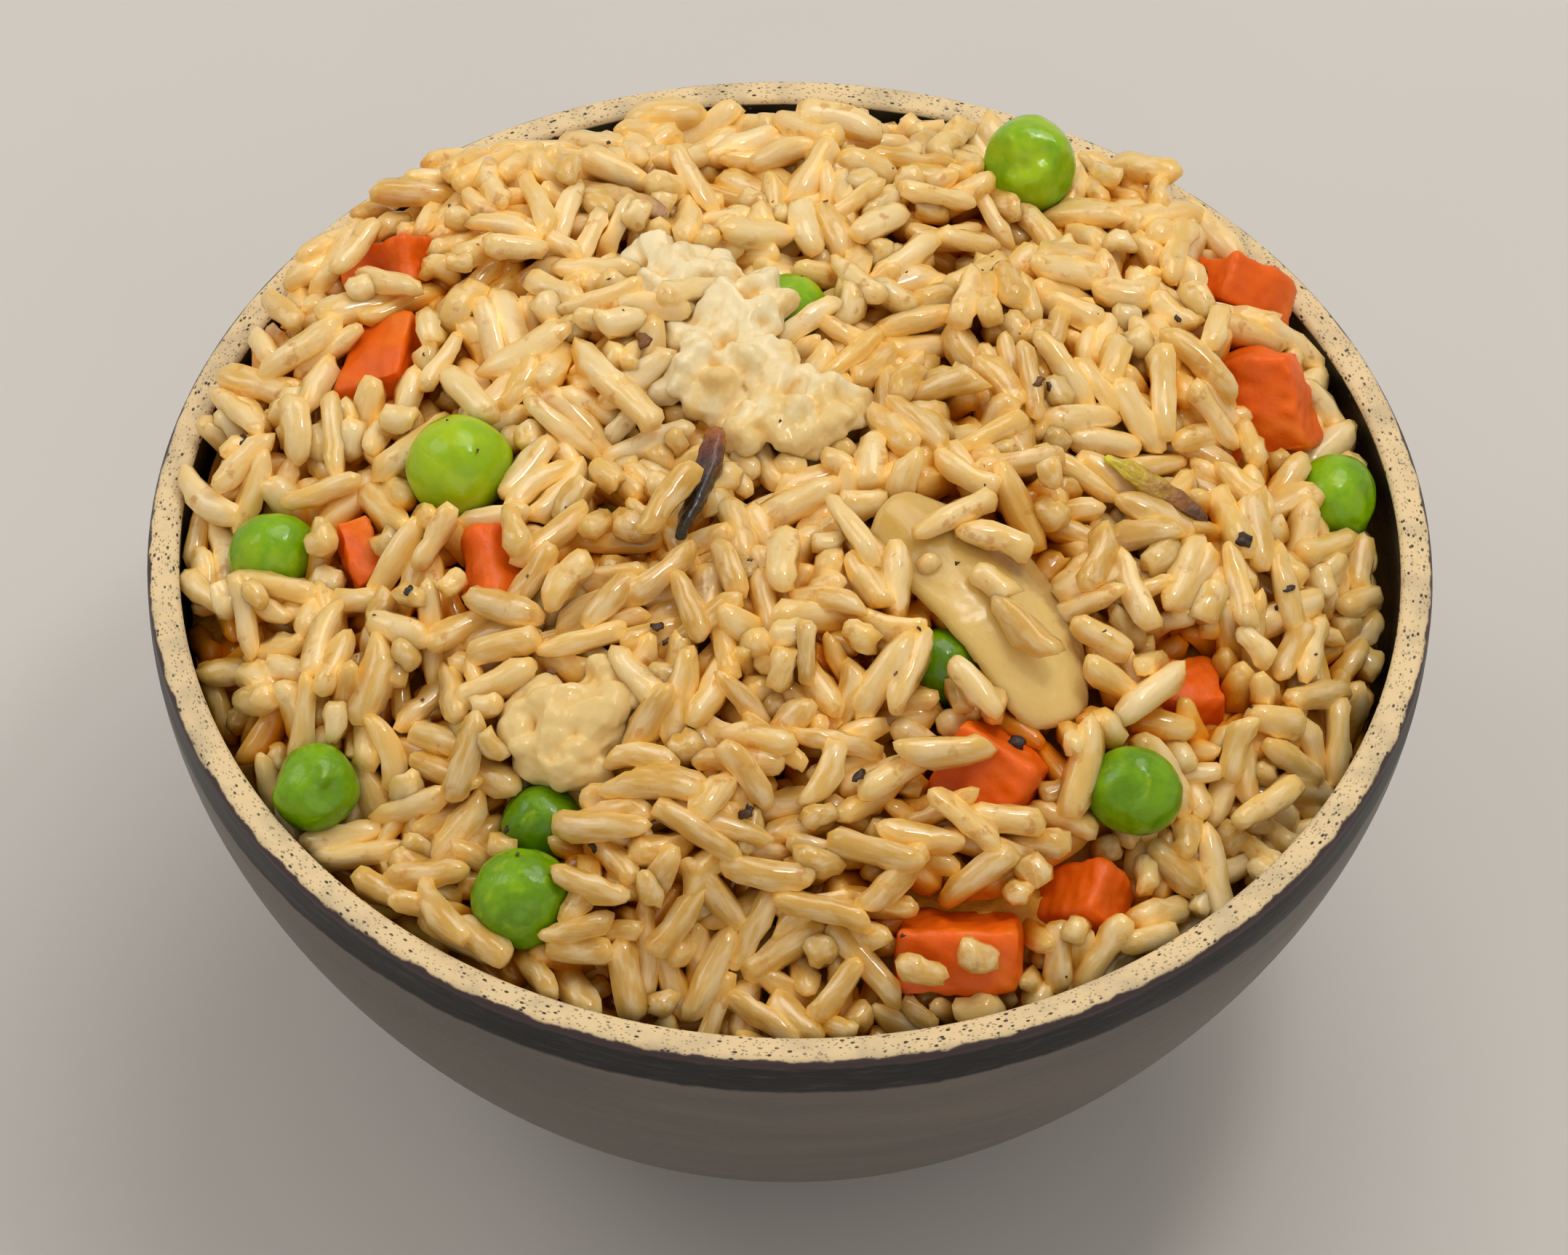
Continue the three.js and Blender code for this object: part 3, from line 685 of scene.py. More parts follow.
def press_lumps(obj, layers, seed):
    """Moves the surface along its normals by lumps of each (height, wavelength)."""
    points = points_of(obj)
    shift = sum(
        height * lumps(points, wavelength, seed + layer)
        for layer, (height, wavelength) in enumerate(layers))
    move_points(obj, points + normals_of(obj) * shift[:, None])
    return obj


# %% Carrot material
CARROT = (0.88, 0.115, 0.002, 1)
CARROT_LIGHT = (0.94, 0.22, 0.006, 1)
CARROT_DEEP = (0.72, 0.095, 0.002, 1)


def make_carrot_flesh():
    material, tree, shader, place = new_material(
        "carrot_flesh", Roughness=0.4, Subsurface_Weight=0.6, Subsurface_Radius=(1.0, 0.3, 0.04),
        Subsurface_Scale=1.8 * MM, Specular_IOR_Level=0.3)
    shader.subsurface_method = "BURLEY"
    cloud = step_between(tree, noise(tree, place, 4.5, 3), 0.36, 0.68)
    color = blend_colors(tree, cloud, CARROT_DEEP, CARROT)
    core = step_between(tree, noise(tree, place, 7.0, 1, distortion=0.8), 0.56, 0.7)
    color = tinge(tree, color, CARROT_LIGHT, core, 0.5)
    fibre = noise(tree, place, 0.4, 4)
    color = tinge(tree, color, CARROT_LIGHT, fibre, 0.28)
    paint(tree, shader, Base_Color=color)
    raise_surface(tree, shader, fibre, 0.06)
    return material


# %% Carrot dice
CARROT_COUNT = 10
carrot_flesh = make_carrot_flesh()
for number in range(1, CARROT_COUNT + 1):
    name = f"carrot_{number:02d}"
    dice = fine_copy(name, f"{name}_flesh", 0.34, 16)
    press_lumps(dice, [(0.26, 6.0), (0.06, 1.6)], SEED + 40 + number)
    finish_piece(dice, carrot_flesh, "carrot", name)

# %% [markdown]
# ## Onion
# One layer of an onion, fried until it went glassy: darker and tan at one end, clearer and more
# yellow at the other, with fine veins along it. The CAD petal already has the cupped and bowed
# form, so its fine copy only needs faint ripples. The material is mostly light spread inside the
# flesh, its edges seen at a glancing angle are painted lighter, a painted glow, and its browning
# follows the long edge by the piece's own coordinates.


# %% Onion slice
ONION_TAN = (0.56, 0.315, 0.045, 1)
ONION_CLEAR = (0.86, 0.60, 0.19, 1)
ONION_PAINTED_GLOW = (0.82, 0.62, 0.30, 1)
ONION_BROWN = (0.30, 0.115, 0.022, 1)


def make_onion_flesh(centre):
    material, tree, shader, place = new_material(
        "onion_flesh", Roughness=0.34, IOR=1.3, Subsurface_Weight=0.8,
        Subsurface_Radius=(1.0, 0.7, 0.3), Subsurface_Scale=3.2 * MM, Coat_Weight=0.45,
        Coat_Roughness=0.2)
    shader.subsurface_method = "BURLEY"
    turned = node(tree, "ShaderNodeMapping", {
        "Vector": place, "Location": [-side for side in centre]}, vector_type="POINT").outputs[0]
    along = node(tree, "ShaderNodeMapping", {
        "Vector": turned, "Rotation": (0, 0, math.radians(46))}, vector_type="POINT").outputs[0]
    veins = node(tree, "ShaderNodeMapping", {
        "Vector": along, "Scale": (0.12, 1.0, 1.0)}, vector_type="POINT").outputs[0]
    length, across, _ = node(tree, "ShaderNodeSeparateXYZ", {0: along}).outputs
    end = step_between(tree, length, -9 * MM, 10 * MM)
    color = blend_colors(tree, end, ONION_TAN, ONION_CLEAR)
    vein = noise(tree, veins, 0.9, 3)
    color = tinge(tree, color, ONION_CLEAR, vein, 0.45)
    # Painted glow: where the surface turns away from view, the colour is painted lighter, as if lit
    # through its thin edge.
    thin = node(tree, "ShaderNodeLayerWeight", {"Blend": 0.4}).outputs["Facing"]
    color = tinge(tree, color, ONION_PAINTED_GLOW, thin, 0.5)
    edge = calculate(tree, "ADD", across, swing(tree, place, 3.0, 3, 5 * MM))
    browned = product(tree, step_between(tree, edge, 3.6 * MM, 5.4 * MM), 0.55)
    color = blend_colors(tree, browned, color, ONION_BROWN)
    stipple = noise(tree, place, 0.35, 3)
    color = tinge(tree, color, ONION_TAN, stipple, 0.16)
    paint(tree, shader, Base_Color=color)
    raise_surface(tree, shader, calculate(tree, "ADD", vein, product(
        tree, stipple, 0.5)), 0.08)
    return material


onion_low, onion_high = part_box("onion_slice")
onion = fine_copy("onion_slice", "onion_slice_flesh", 0.26, 12)
press_lumps(onion, [(0.07, 8.0), (0.015, 1.6)], SEED + 60)
finish_piece(onion, make_onion_flesh((onion_low + onion_high) / 2), "onion", "onion_slice")

# %% [markdown]
# ## Pale clumps
# Where steam kept the rice wet, grains have stuck into creamy clumps whose outlines nearly vanish.
# Metal or clay would be joined by a boolean, but grains that melt together suit a voxel remesh: the
# clump's rounded lumps and many half-sunk grains are one mesh, and the Remesh modifier wraps them
# all in a single skin that a few smoothing passes then soften. How deep every point lies in a crease
# is stored on the mesh, because the creases are painted amber, a painted shade, and the tops of the
# grains cream.


# %% Grain shape
def grain_shape(rings, sides, seed, torn=0.0):
    """A cooked grain along X, one unit long and wide; torn is how ragged its far end is."""
    pick = np.random.default_rng(seed)
    along = -np.cos(np.linspace(0, np.pi, rings + 2)) / 2
    blunt = np.where(along < 0, pick.uniform(3.4, 7.0), pick.uniform(4.0, 10.0))
    width = np.sqrt(np.clip(1 - np.abs(2 * along) ** blunt, 0, 1))
    width *= 1 + pick.uniform(0.0, 0.22) * along
    width *= 1 + 0.05 * np.sin(2 * np.pi * along * pick.uniform(1.0, 2.4) + pick.uniform(0, 6))
    turn = np.linspace(0, 2 * np.pi, sides, endpoint=False)
    ridges, twist = pick.choice([2, 3, 4]), pick.uniform(-0.9, 0.9)
    points = [(along[0] - pick.uniform(0, 0.04), 0, 0)]
    for x, share in zip(along[1:-1], width[1:-1]):
        ragged = 0.012 + torn * (x > 0.2)
        ridge = 1 - 0.1 * np.cos(ridges * (turn + twist * x)) + pick.normal(0, 0.045, sides)
        radius = share * ridge / 2
        xs = x + pick.normal(0, ragged, sides)
        points += list(zip(xs, radius * np.cos(turn), radius * np.sin(turn)))
    points.append((along[-1] - 1.5 * torn, 0, 0))
    points = np.array(points)
    bend, sway, slant = pick.uniform(-0.05, 0.34), pick.uniform(-0.1, 0.1), pick.uniform(-0.3, 0.3)
    points[:, 0] += slant * points[:, 1] * np.abs(2 * points[:, 0]) ** 3
    points[:, 1] += bend * ((2 * points[:, 0]) ** 2 - 0.4)
    points[:, 2] += sway * np.sin(4 * points[:, 0])
    faces = []
    last = len(points) - 1
    for side in range(sides):
        after = (side + 1) % sides
        faces.append((0, 1 + after, 1 + side))
        for ring in range(rings - 1):
            low = 1 + ring * sides
            high = low + sides
            faces.append((low + side, low + after, high + after, high + side))
        top = 1 + (rings - 1) * sides
        faces.append((top + side, top + after, last))
    return points, faces


def turn_to(axis, roll):
    """Rotation whose X axis is the given direction and whose Z axis is near up, then rolled."""
    ahead = Vector(axis).normalized()
    side = Vector((0, 0, 1)).cross(ahead).normalized()
    up = ahead.cross(side)
    return Matrix((ahead, side, up)).transposed() @ Matrix.Rotation(roll, 3, "X")


# %% Clump shapes
CLUMP_SUNK = 1.0                     # how far the clump's own body lies under the grains on it
CLUMPS = {"pale_clump_large": (40, 62), "pale_clump_small": (14, 40)}      # grains, usual bearing


def crease_depth(obj, rounds=8):
    """How far each point lies under the smoothed surface round it, in millimetres."""
    edges = np.empty(len(obj.data.edges) * 2, int)
    obj.data.edges.foreach_get("vertices", edges)
    first, second = edges.reshape(-1, 2).T
    points = points_of(obj)
    soft = points.copy()
    neighbours = np.bincount(edges, minlength=len(points))[:, None]
    for _ in range(rounds):
        total = np.zeros_like(soft)
        np.add.at(total, first, soft[second])
        np.add.at(total, second, soft[first])
        soft = total / neighbours
    return ((soft - points) * normals_of(obj)).sum(axis=1)


def make_clump(name, grain_count, bearing):
    """The CAD clump with grains half sunk in its surface, wrapped in one skin."""
    random = np.random.default_rng(SEED + grain_count)
    base = fine_copy(name, f"{name}_skin", 0.9, 1)
    points, normals = points_of(base), normals_of(base)
    points -= CLUMP_SUNK * normals
    faces = [tuple(face.vertices) for face in base.data.polygons]
    upward = np.flatnonzero(normals[:, 2] > -0.2)
    picked = upward[np.linspace(0, len(upward) - 1, grain_count).astype(int)]
    for place, normal in zip(points[picked], normals[picked]):
        shape, shape_faces = grain_shape(9, 8, int(random.integers(1e6)))
        turn = math.radians(bearing + random.normal(0, 38))
        heading = np.array([math.cos(turn), math.sin(turn), random.normal(0, 0.2)])
        heading -= normal * (heading @ normal) * 0.9
        turned = np.array(turn_to(heading, random.uniform(0, 6))).T
        size = np.array([random.uniform(4.4, 6.8), 3.5, 2.9])
        faces += [tuple(corner + len(points) for corner in face) for face in shape_faces]
        points = np.vstack([points, (shape * size) @ turned + place + 0.5 * normal])
    bpy.data.objects.remove(base)
    clump = mesh_object(f"{name}_skin", points, faces)
    remesh = clump.modifiers.new("remesh", "REMESH")
    remesh.mode = "VOXEL"
    remesh.voxel_size = 0.24 * MM
    smooth = clump.modifiers.new("smooth", "SMOOTH")
    smooth.factor = 0.5
    smooth.iterations = 4
    bake_modifiers(clump)
    press_lumps(clump, [(0.12, 2.6), (0.03, 0.9)], grain_count)
    store(clump, "crease", crease_depth(clump))
    return clump


# %% Clump material
CLUMP_CREAM = (0.78, 0.56, 0.23, 1)
CLUMP_WHITE = (0.84, 0.70, 0.42, 1)
CLUMP_TAN = (0.76, 0.47, 0.13, 1)
CLUMP_CREASE_SHADE = (0.74, 0.42, 0.09, 1)


def make_clump_skin():
    material, tree, shader, place = new_material(
        "clump_skin", Roughness=0.36, Subsurface_Weight=0.8, Subsurface_Radius=(1.0, 0.8, 0.5),
        Subsurface_Scale=1.6 * MM, Coat_Weight=0.7, Coat_Roughness=0.12,
        Coat_IOR=1.38, IOR=1.25, Specular_IOR_Level=0.2)
    shader.subsurface_method = "BURLEY"
    far = node(tree, "ShaderNodeSeparateXYZ", {0: place}).outputs["Y"]
    cloud = step_between(tree, calculate(tree, "ADD", noise(tree, place, 4.0, 3), product(
        tree, far, 0.012 / MM)), 0.46, 0.72)
    color = blend_colors(tree, cloud, CLUMP_CREAM, CLUMP_WHITE)
    stain = product(tree, step_between(
        tree, noise(tree, place, 3.2, 4), 0.54, 0.74), 0.6)
    color = blend_colors(tree, stain, color, CLUMP_TAN)
    # Painted shade: creases are coloured amber, the deeper the more.
    crease = product(tree, step_between(
        tree, attribute(tree, "crease"), 0.0, 0.26), 0.9)
    color = blend_colors(tree, crease, color, CLUMP_CREASE_SHADE)
    paint(tree, shader, Base_Color=color)
    raise_surface(tree, shader, noise(tree, place, 1.2, 3), 0.14)
    return material


clump_skin = make_clump_skin()
for name, (grain_count, bearing) in CLUMPS.items():
    finish_piece(make_clump(name, grain_count, bearing), clump_skin, "pale_clump", name)

# %% [markdown]
# ## Browned strips
# Three thin things fried brown: a charred strip of onion with a sticky bulb at one end, a curl of
# scallion that is still yellow green at its tip, and a flat strip of onion skin. Each follows a
# path of a few points, so a ring of points is carried along a smooth curve and its width and
# thickness change on the way. The share of the way along is stored on the mesh for the colours.

# %% Strip shapes
STRIPS = {
    "charred_strip": dict(
        points=[(-6.8, 1.0, 1.6), (-7.0, -1.6, 1.9), (-7.7, -5.0, 1.9), (-9.0, -8.4, 1.7),
                (-9.9, -10.9, 1.3)],
        radii=[1.0, 1.12, 0.85, 0.72, 0.5], flat=0.85, twist=2.2, ridges=0.22),
    "scallion_strip": dict(
        points=[(27.6, 2.2, 1.6), (29.8, 1.3, 1.9), (32.4, 0.2, 1.9), (34.8, -0.7, 1.7),
                (37.0, -1.7, 1.3)],
        radii=[0.45, 1.15, 1.2, 0.75, 0.35], flat=0.5, twist=0.8, ridges=0.16),
    "onion_skin_strip": dict(
        points=[(-20.2, 35.4, 0.9), (-17.4, 33.3, 1.3), (-14.6, 31.6, 1.2), (-12.0, 30.4, 0.8)],
        radii=[0.6, 1.3, 1.15, 0.5], flat=0.26, twist=0.5, ridges=0.1),
}


def smooth_path(points, steps):
    """A path through the points: a cubic that is carried through every four of them."""
    points = np.asarray(points, float)
    padded = np.vstack([2 * points[0] - points[1], points, 2 * points[-1] - points[-2]])
    share = np.linspace(0, len(points) - 1 - 1e-6, steps)
    index = share.astype(int)
    t = (share - index)[:, None]
    before, start, end, after = (padded[index + k] for k in range(4))
    return 0.5 * (2 * start + (end - before) * t
                  + (2 * before - 5 * start + 4 * end - after) * t**2
                  + (3 * start - before - 3 * end + after) * t**3)


def make_strip(name, points, radii, flat, twist, ridges, steps=44, sides=16):
    lifted = [(x, y, heap_height(x, y) + lift) for x, y, lift in points]
    path = smooth_path(lifted, steps)
    ahead = np.gradient(path, axis=0)
    ahead /= np.linalg.norm(ahead, axis=1, keepdims=True)
    share = np.linspace(0, 1, steps)
    radius = np.interp(share, np.linspace(0, 1, len(radii)), radii)
    radius *= np.clip(np.sin(np.pi * np.clip(share * 12, 0, 0.5)), 0.05, 1)
    radius *= np.clip(np.sin(np.pi * np.clip((1 - share) * 12, 0, 0.5)), 0.05, 1)
    turn = np.linspace(0, 2 * np.pi, sides, endpoint=False)
    rings = []
    for middle, forward, r, part in zip(path, ahead, radius, share):
        side = np.cross((0, 0, 1), forward)
        side /= np.linalg.norm(side)
        up = np.cross(forward, side)
        rim = 1 + ridges * np.cos(3 * turn + 5 * part) + 0.5 * ridges * np.sin(5 * turn - 9 * part)
        across = r * rim * np.cos(turn)
        high = r * flat * rim * np.sin(turn)
        lean = twist * (part - 0.5)
        rings.append(middle + np.outer(across * math.cos(lean) - high * math.sin(lean), side)
                     + np.outer(across * math.sin(lean) + high * math.cos(lean), up))
    points = np.vstack([*rings, path[:1], path[-1:]])
    strip = mesh_object(f"{name}_browned", points, ring_faces(steps, sides))
    store(strip, "along", [*np.repeat(share, sides), 0, 1])
    return press_lumps(strip, [(0.06, 1.6)], SEED + steps)


# %% Strip materials
def make_browned(name, colors, roughness):
    """A material that runs through its colours from one end of a strip to the other."""
    material, tree, shader, place = new_material(
        name, Roughness=roughness, Coat_Weight=0.5, Coat_Roughness=0.1)
    share = calculate(tree, "ADD", attribute(tree, "along"), swing(tree, place, 1.4, 4, 0.7))
    color = colors[0]
    for index, following in enumerate(colors[1:]):
        middle = (index + 0.5) / (len(colors) - 1)
        color = blend_colors(tree, step_between(
            tree, share, middle - 0.18, middle + 0.18), color, following)
    paint(tree, shader, Base_Color=color)
    raise_surface(tree, shader, noise(tree, place, 0.7, 4), 0.4)
    return material


STRIP_COLORS = {
    "charred_strip": ("char", [
        (0.50, 0.14, 0.010, 1), (0.14, 0.025, 0.005, 1), (0.020, 0.009, 0.006, 1),
        (0.010, 0.007, 0.006, 1), (0.008, 0.006, 0.006, 1)], 0.3),
    "scallion_strip": ("scallion", [
        (0.74, 0.66, 0.02, 1), (0.55, 0.34, 0.012, 1), (0.30, 0.10, 0.008, 1),
        (0.08, 0.027, 0.006, 1)], 0.28),
    "onion_skin_strip": ("onion_skin", [
        (0.46, 0.22, 0.05, 1), (0.74, 0.47, 0.16, 1), (0.66, 0.38, 0.11, 1),
        (0.34, 0.14, 0.03, 1)], 0.4),
}
for name, settings in STRIPS.items():
    slot, colors, roughness = STRIP_COLORS[name]
    finish_piece(make_strip(name, **settings), make_browned(name, colors, roughness), slot, name)

# %% [markdown]
# ## Packing the loose grains
# Grains that are only scattered would cut through each other, and it shows at once. So they are
# first laid out in five layers, in small bundles that stuck together, and then pushed apart. Each
# grain is a stiff row of four small balls. Over and over, balls that overlap push each other away,
# a grain turns and moves with its balls, the wall and the toppings push back, and every grain is
# drawn gently to its own layer. After a few hundred rounds they lie as poured rice does. Toppings
# take part as balls set just under their surfaces, and the ones that lie bare keep grains off. The
# balls are nearly a quarter slimmer than the grains, so grains press about half a millimetre into each
# other, as soft ones do. They also sink into the toppings by a few tenths of a millimetre.

# %% Packing values
LAYERS = [(190, -1.3), (450, 0.3), (560, 2.0), (500, 3.7), (240, 5.2)]     # grains and depth
GRAIN_LENGTH = (6.0, 9.4)
BROKEN_LENGTH = (2.4, 5.0)
BROKEN_SHARE = 0.27
GRAIN_WIDTH = (2.1, 3.1)
BUNDLES = 480                        # small groups of grains that stuck together side by side
TILT = (0.36, 0.26)                  # slope of a bundle, and of a grain within it
RISE = 0.7                           # how far bundles stand above or below their layer
CEILING = 1.7                        # grains are pressed down from this far above the surface
BALLS = 4
SOFTNESS = 0.77
OVER_RIM = [(130, 10, 2.2), (57, 7, 1.6), (177, 9, 1.6)]   # bearing, half width, reach outwards
ROUNDS = 260
PAIR_REACH = 3.6                     # balls further apart than this never touch
SORTED_EVERY = 4                     # rounds between two searches for neighbours
PUSH = 0.42                          # share of a push that is taken in one round
LONGEST_MOVE = 0.8                   # in one round
LONGEST_TURN = 0.3
CEILING_PULL = 0.25
LAYER_PULL = 0.05
STUCK = 0.8                          # a grain this deep in a topping can't be freed
BARE_REACH = 0.9                     # grains this near a bare topping, seen from above, lie over it
COVER_HEIGHT = 9                     # and only up to this far above it
RIM_KEPT_CLEAR = 2.4                 # outer part of the rim that no grain reaches


# Grains that lie on or beside something worth keeping: x, y, heading, length, lift
CHOSEN_GRAINS = [
    (-40.1, 25.6, 53, 7.0, 2.6), (-39.4, 21.4, 32, 2.6, 1.8), (-32.9, 16.0, -74, 4.7, 1.0),
    (36.3, 23.8, -52, 4.4, 1.8), (34.0, 22.6, -43, 5.2, 0.6), (-24.3, -9.4, -71, 5.4, 1.4),
    (13.6, -30.4, 8, 8.8, 1.8), (17.5, -36.6, -9, 9.2, -0.6), (18.8, -35.0, -4, 8.0, 0.8),
    (12.1, -48.8, -16, 4.4, 1.2), (17.0, -47.4, -28, 3.9, 1.4), (9.6, -41.2, 52, 8.0, 1.4),
    (16.4, -24.4, -47, 6.9, 1.8), (20.5, -18.5, -44, 7.5, 1.4), (17.7, -14.7, -31, 4.4, 1.4),
    (14.3, -8.4, 35, 8.9, 1.4), (17.9, -10.1, -10, 6.9, 1.4), (-11.0, -8.2, 58, 8.4, 1.0),
    (10.6, -23.5, 70, 8.6, 1.6), (8.9, -19.0, -9, 6.2, 1.4), (6.8, -14.8, -62, 6.4, 1.4),
    (26.9, -9.4, 70, 7.2, 1.6), (34.8, -8.0, 72, 9.0, 1.4), (31.7, -21.2, 52, 9.0, 1.2),
    (-16.5, -43.2, -25, 7.4, 1.2), (-29.0, 6.8, -49, 8.0, 1.6), (-27.5, 30.0, -44, 8.4, 1.4),
    (-22.5, 26.4, -40, 8.0, 1.2), (11.1, 2.8, -46, 8.2, 1.2), (32.3, -2.4, -17, 8.0, 0.8),
    (35.7, -8.4, 63, 8.6, 1.2), (42.1, -27.6, 38, 8.4, 0.6), (-4.0, -31.7, -4, 8.0, 1.0),
    (-12.3, -31.3, -8, 6.6, 0.8), (-1.5, -41.0, -8, 8.8, 1.2), (3.4, -43.6, -15, 8.4, 1.0),
    (-8.7, -17.4, -67, 7.4, 1.0), (-5.4, -13.5, -66, 6.6, 1.0), (-25.1, -16.2, -19, 7.8, 1.0),
    (-24.8, -20.0, 5, 6.8, 1.0), (-19.5, -14.2, 50, 6.4, 1.2), (-15.8, -16.4, 52, 6.6, 1.0),
    (-13.2, -24.0, -51, 6.8, 1.0), (-17.6, 9.4, -55, 7.6, 1.2), (-14.6, 5.2, -46, 8.0, 1.0),
    (30.3, -11.0, -65, 8.6, 1.2), (27.4, -16.8, -19, 6.0, 1.0), (3.4, -32.6, 67, 6.6, 0.8),
]


def lay_out_grains(random, toppings):
    """First places, directions, lengths and widths of all grains, layer by layer."""
    golden = math.pi * (3 - math.sqrt(5))
    places, depths = [], []
    for layer, (count, layer_depth) in enumerate(LAYERS):
        index = np.arange(count)
        radius = (HEAP_RADIUS - 1.2) * np.sqrt((index + 0.5) / count)
        turn = index * golden + layer
        x, y = radius * np.cos(turn), radius * np.sin(turn)
        x += random.normal(0, 1.1, count)
        y += random.normal(0, 1.1, count)
        depth = layer_depth + heap_height(x, y) - local_height(x, y)
        places.append(np.column_stack([x, y, heap_height(x, y) - depth]))
        depths.append(depth)
    places, depths = np.vstack(places), np.concatenate(depths)
    count = len(places)
    normal = heap_normal(places[:, 0], places[:, 1])
    middles = places[random.choice(count, BUNDLES, replace=False)]
    bundle = np.linalg.norm(places[:, None] - middles[None], axis=2).argmin(axis=1)
    heading = random.uniform(0, 2 * np.pi, BUNDLES)[bundle] + random.normal(0, 0.4, count)
    tilt = random.normal(0, TILT[0], BUNDLES)[bundle] + random.normal(0, TILT[1], count)
    depths = depths - random.normal(0, RISE, BUNDLES)[bundle]
    flat = np.column_stack([np.cos(heading), np.sin(heading), np.zeros(count)])
    flat -= normal * (flat * normal).sum(1, keepdims=True)
    flat /= np.linalg.norm(flat, axis=1, keepdims=True)
    axis = flat + normal * np.tan(tilt.clip(-1.0, 1.0))[:, None]
    axis /= np.linalg.norm(axis, axis=1, keepdims=True)
    broken = random.random(count) < BROKEN_SHARE
    length = np.where(broken, random.uniform(*BROKEN_LENGTH, count),
                      random.uniform(*GRAIN_LENGTH, count))
    width = random.uniform(*GRAIN_WIDTH, count)
    loose = dict(place=places, axis=axis, length=length, width=width, depth=depths, broken=broken)
    loose["hold"] = np.zeros(count)
    kept = ~lies_over(places, np.arange(count), toppings, BARE_REACH)
    chosen = lay_chosen_grains(random, toppings)
    return {key: np.concatenate([value[kept], chosen[key]]) for key, value in loose.items()}


def top_of(toppings, x, y, reach=1.0):
    """How high the toppings reach near a point, or nothing at all."""
    near = np.hypot(toppings[:, 0] - x, toppings[:, 1] - y) < reach
    return (toppings[near, 2] + toppings[near, 3]).max(initial=0)


def lay_chosen_grains(random, toppings):
    x, y, heading, length, lift = np.array(CHOSEN_GRAINS).T
    turn = np.radians(heading)
    axis = np.column_stack([np.cos(turn), np.sin(turn), np.zeros(len(x))])
    normal = heap_normal(x, y)
    axis -= normal * (axis * normal).sum(1, keepdims=True)
    z = heap_height(x, y) + lift
    for part in np.linspace(-0.35, 0.35, 5):
        step = part * length
        ends = zip(x + step * axis[:, 0], y + step * axis[:, 1])
        rests = np.array([top_of(toppings, *end) for end in ends]) + 1.1
        z = np.maximum(z, rests - step * axis[:, 2])
    return dict(
        place=np.column_stack([x, y, z]),
        axis=axis / np.linalg.norm(axis, axis=1, keepdims=True),
        length=length, width=random.uniform(2.3, 2.9, len(x)), depth=heap_height(x, y) - z,
        broken=length < 5, hold=np.ones(len(x)))


# %% Balls under the toppings' surfaces
def surface_balls(obj, spacing, radius):
    """Balls of a radius that touch an object's surface from inside, about a spacing apart."""
    points, normals = points_of(obj), normals_of(obj)
    cells = np.floor(points / spacing).astype(int)
    _, first = np.unique(cells, axis=0, return_index=True)
    return np.column_stack([points[first] - normals[first] * radius, np.full(len(first), radius)])


OBSTACLE_BALLS = {"pea": (1.4, 1.6), "carrot": (1.3, 1.3), "onion_slice": (1.1, 0.7),
                  "charred": (0.9, 0.4), "scallion": (0.9, 0.4)}
COVERED_BALLS = {"pale": (1.3, 1.0), "onion_skin": (0.9, 0.3)}       # grains may lie over these


def topping_balls(kinds):
    rows = []
    for obj in bpy.context.scene.objects:
        for start, (spacing, radius) in kinds.items():
            if obj.name.startswith(start) and "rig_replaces" in obj:
                rows.append(surface_balls(obj, spacing, radius))
    return np.vstack(rows)


# %% Finding neighbours
def near_pairs(points, reach):
    """Pairs of points closer than reach along each axis, found by sorting them into cells."""
    cells = np.floor((points - points.min(0)) / reach).astype(np.int64) + 1
    size = cells.max(0) + 2
    keys = (cells[:, 0] * size[1] + cells[:, 1]) * size[2] + cells[:, 2]
    order = np.argsort(keys, kind="stable")
    ranked = keys[order]
    firsts, seconds = [], []
    offsets = [(x, y, z) for x in (-1, 0, 1) for y in (-1, 0, 1) for z in (-1, 0, 1)]
    for x, y, z in offsets[len(offsets) // 2:]:
        wanted = keys + (x * size[1] + y) * size[2] + z
        start = np.searchsorted(ranked, wanted, "left")
        count = np.searchsorted(ranked, wanted, "right") - start
        first = np.repeat(np.arange(len(points)), count)
        rank = np.arange(count.sum()) - np.repeat(np.cumsum(count) - count, count)
        second = order[np.repeat(start, count) + rank]
        if (x, y, z) == (0, 0, 0):
            first, second = first[first < second], second[first < second]
        firsts.append(first)
        seconds.append(second)
    return np.concatenate(firsts), np.concatenate(seconds)


def lies_over(points, owners, toppings, reach, wanted=1):
    """Which owners have so many points above a topping, its balls being within reach sideways."""
    every = np.vstack([points, toppings[:, :3]])
    level = every * (1, 1, 0)
    first, second = near_pairs(level, reach)
    swap = (first >= len(points)) & (second < len(points))
    first, second = np.where(swap, second, first), np.where(swap, first, second)
    mixed = (first < len(points)) & (second >= len(points))
    first, second = first[mixed], second[mixed]
    drop = every[first, 2] - every[second, 2]
    near = np.linalg.norm(level[first] - level[second], axis=1) < reach
    over = np.unique(first[near & (drop > 0) & (drop < COVER_HEIGHT)])
    return np.bincount(owners[over], minlength=owners.max() + 1) >= wanted


# %% Pushing grains apart
BALL_TAPER = np.array([0.84, 1.0, 1.0, 0.84])


def ball_offsets(length, width):
    """Distances of the four balls from a grain's middle, so that the end balls reach its tips."""
    half = np.maximum(length / 2 - width / 2 * BALL_TAPER[0], 0.1)
    return half[:, None] * np.linspace(-1, 1, BALLS)


def grain_balls(grains):
    """The balls of all grains, row by row: x, y, z and radius."""
    offsets = ball_offsets(grains["length"], grains["width"])
    middles = grains["place"][:, None, :] + grains["axis"][:, None, :] * offsets[:, :, None]
    radii = grains["width"][:, None] / 2 * BALL_TAPER
    return np.column_stack([middles.reshape(-1, 3), radii.ravel()])


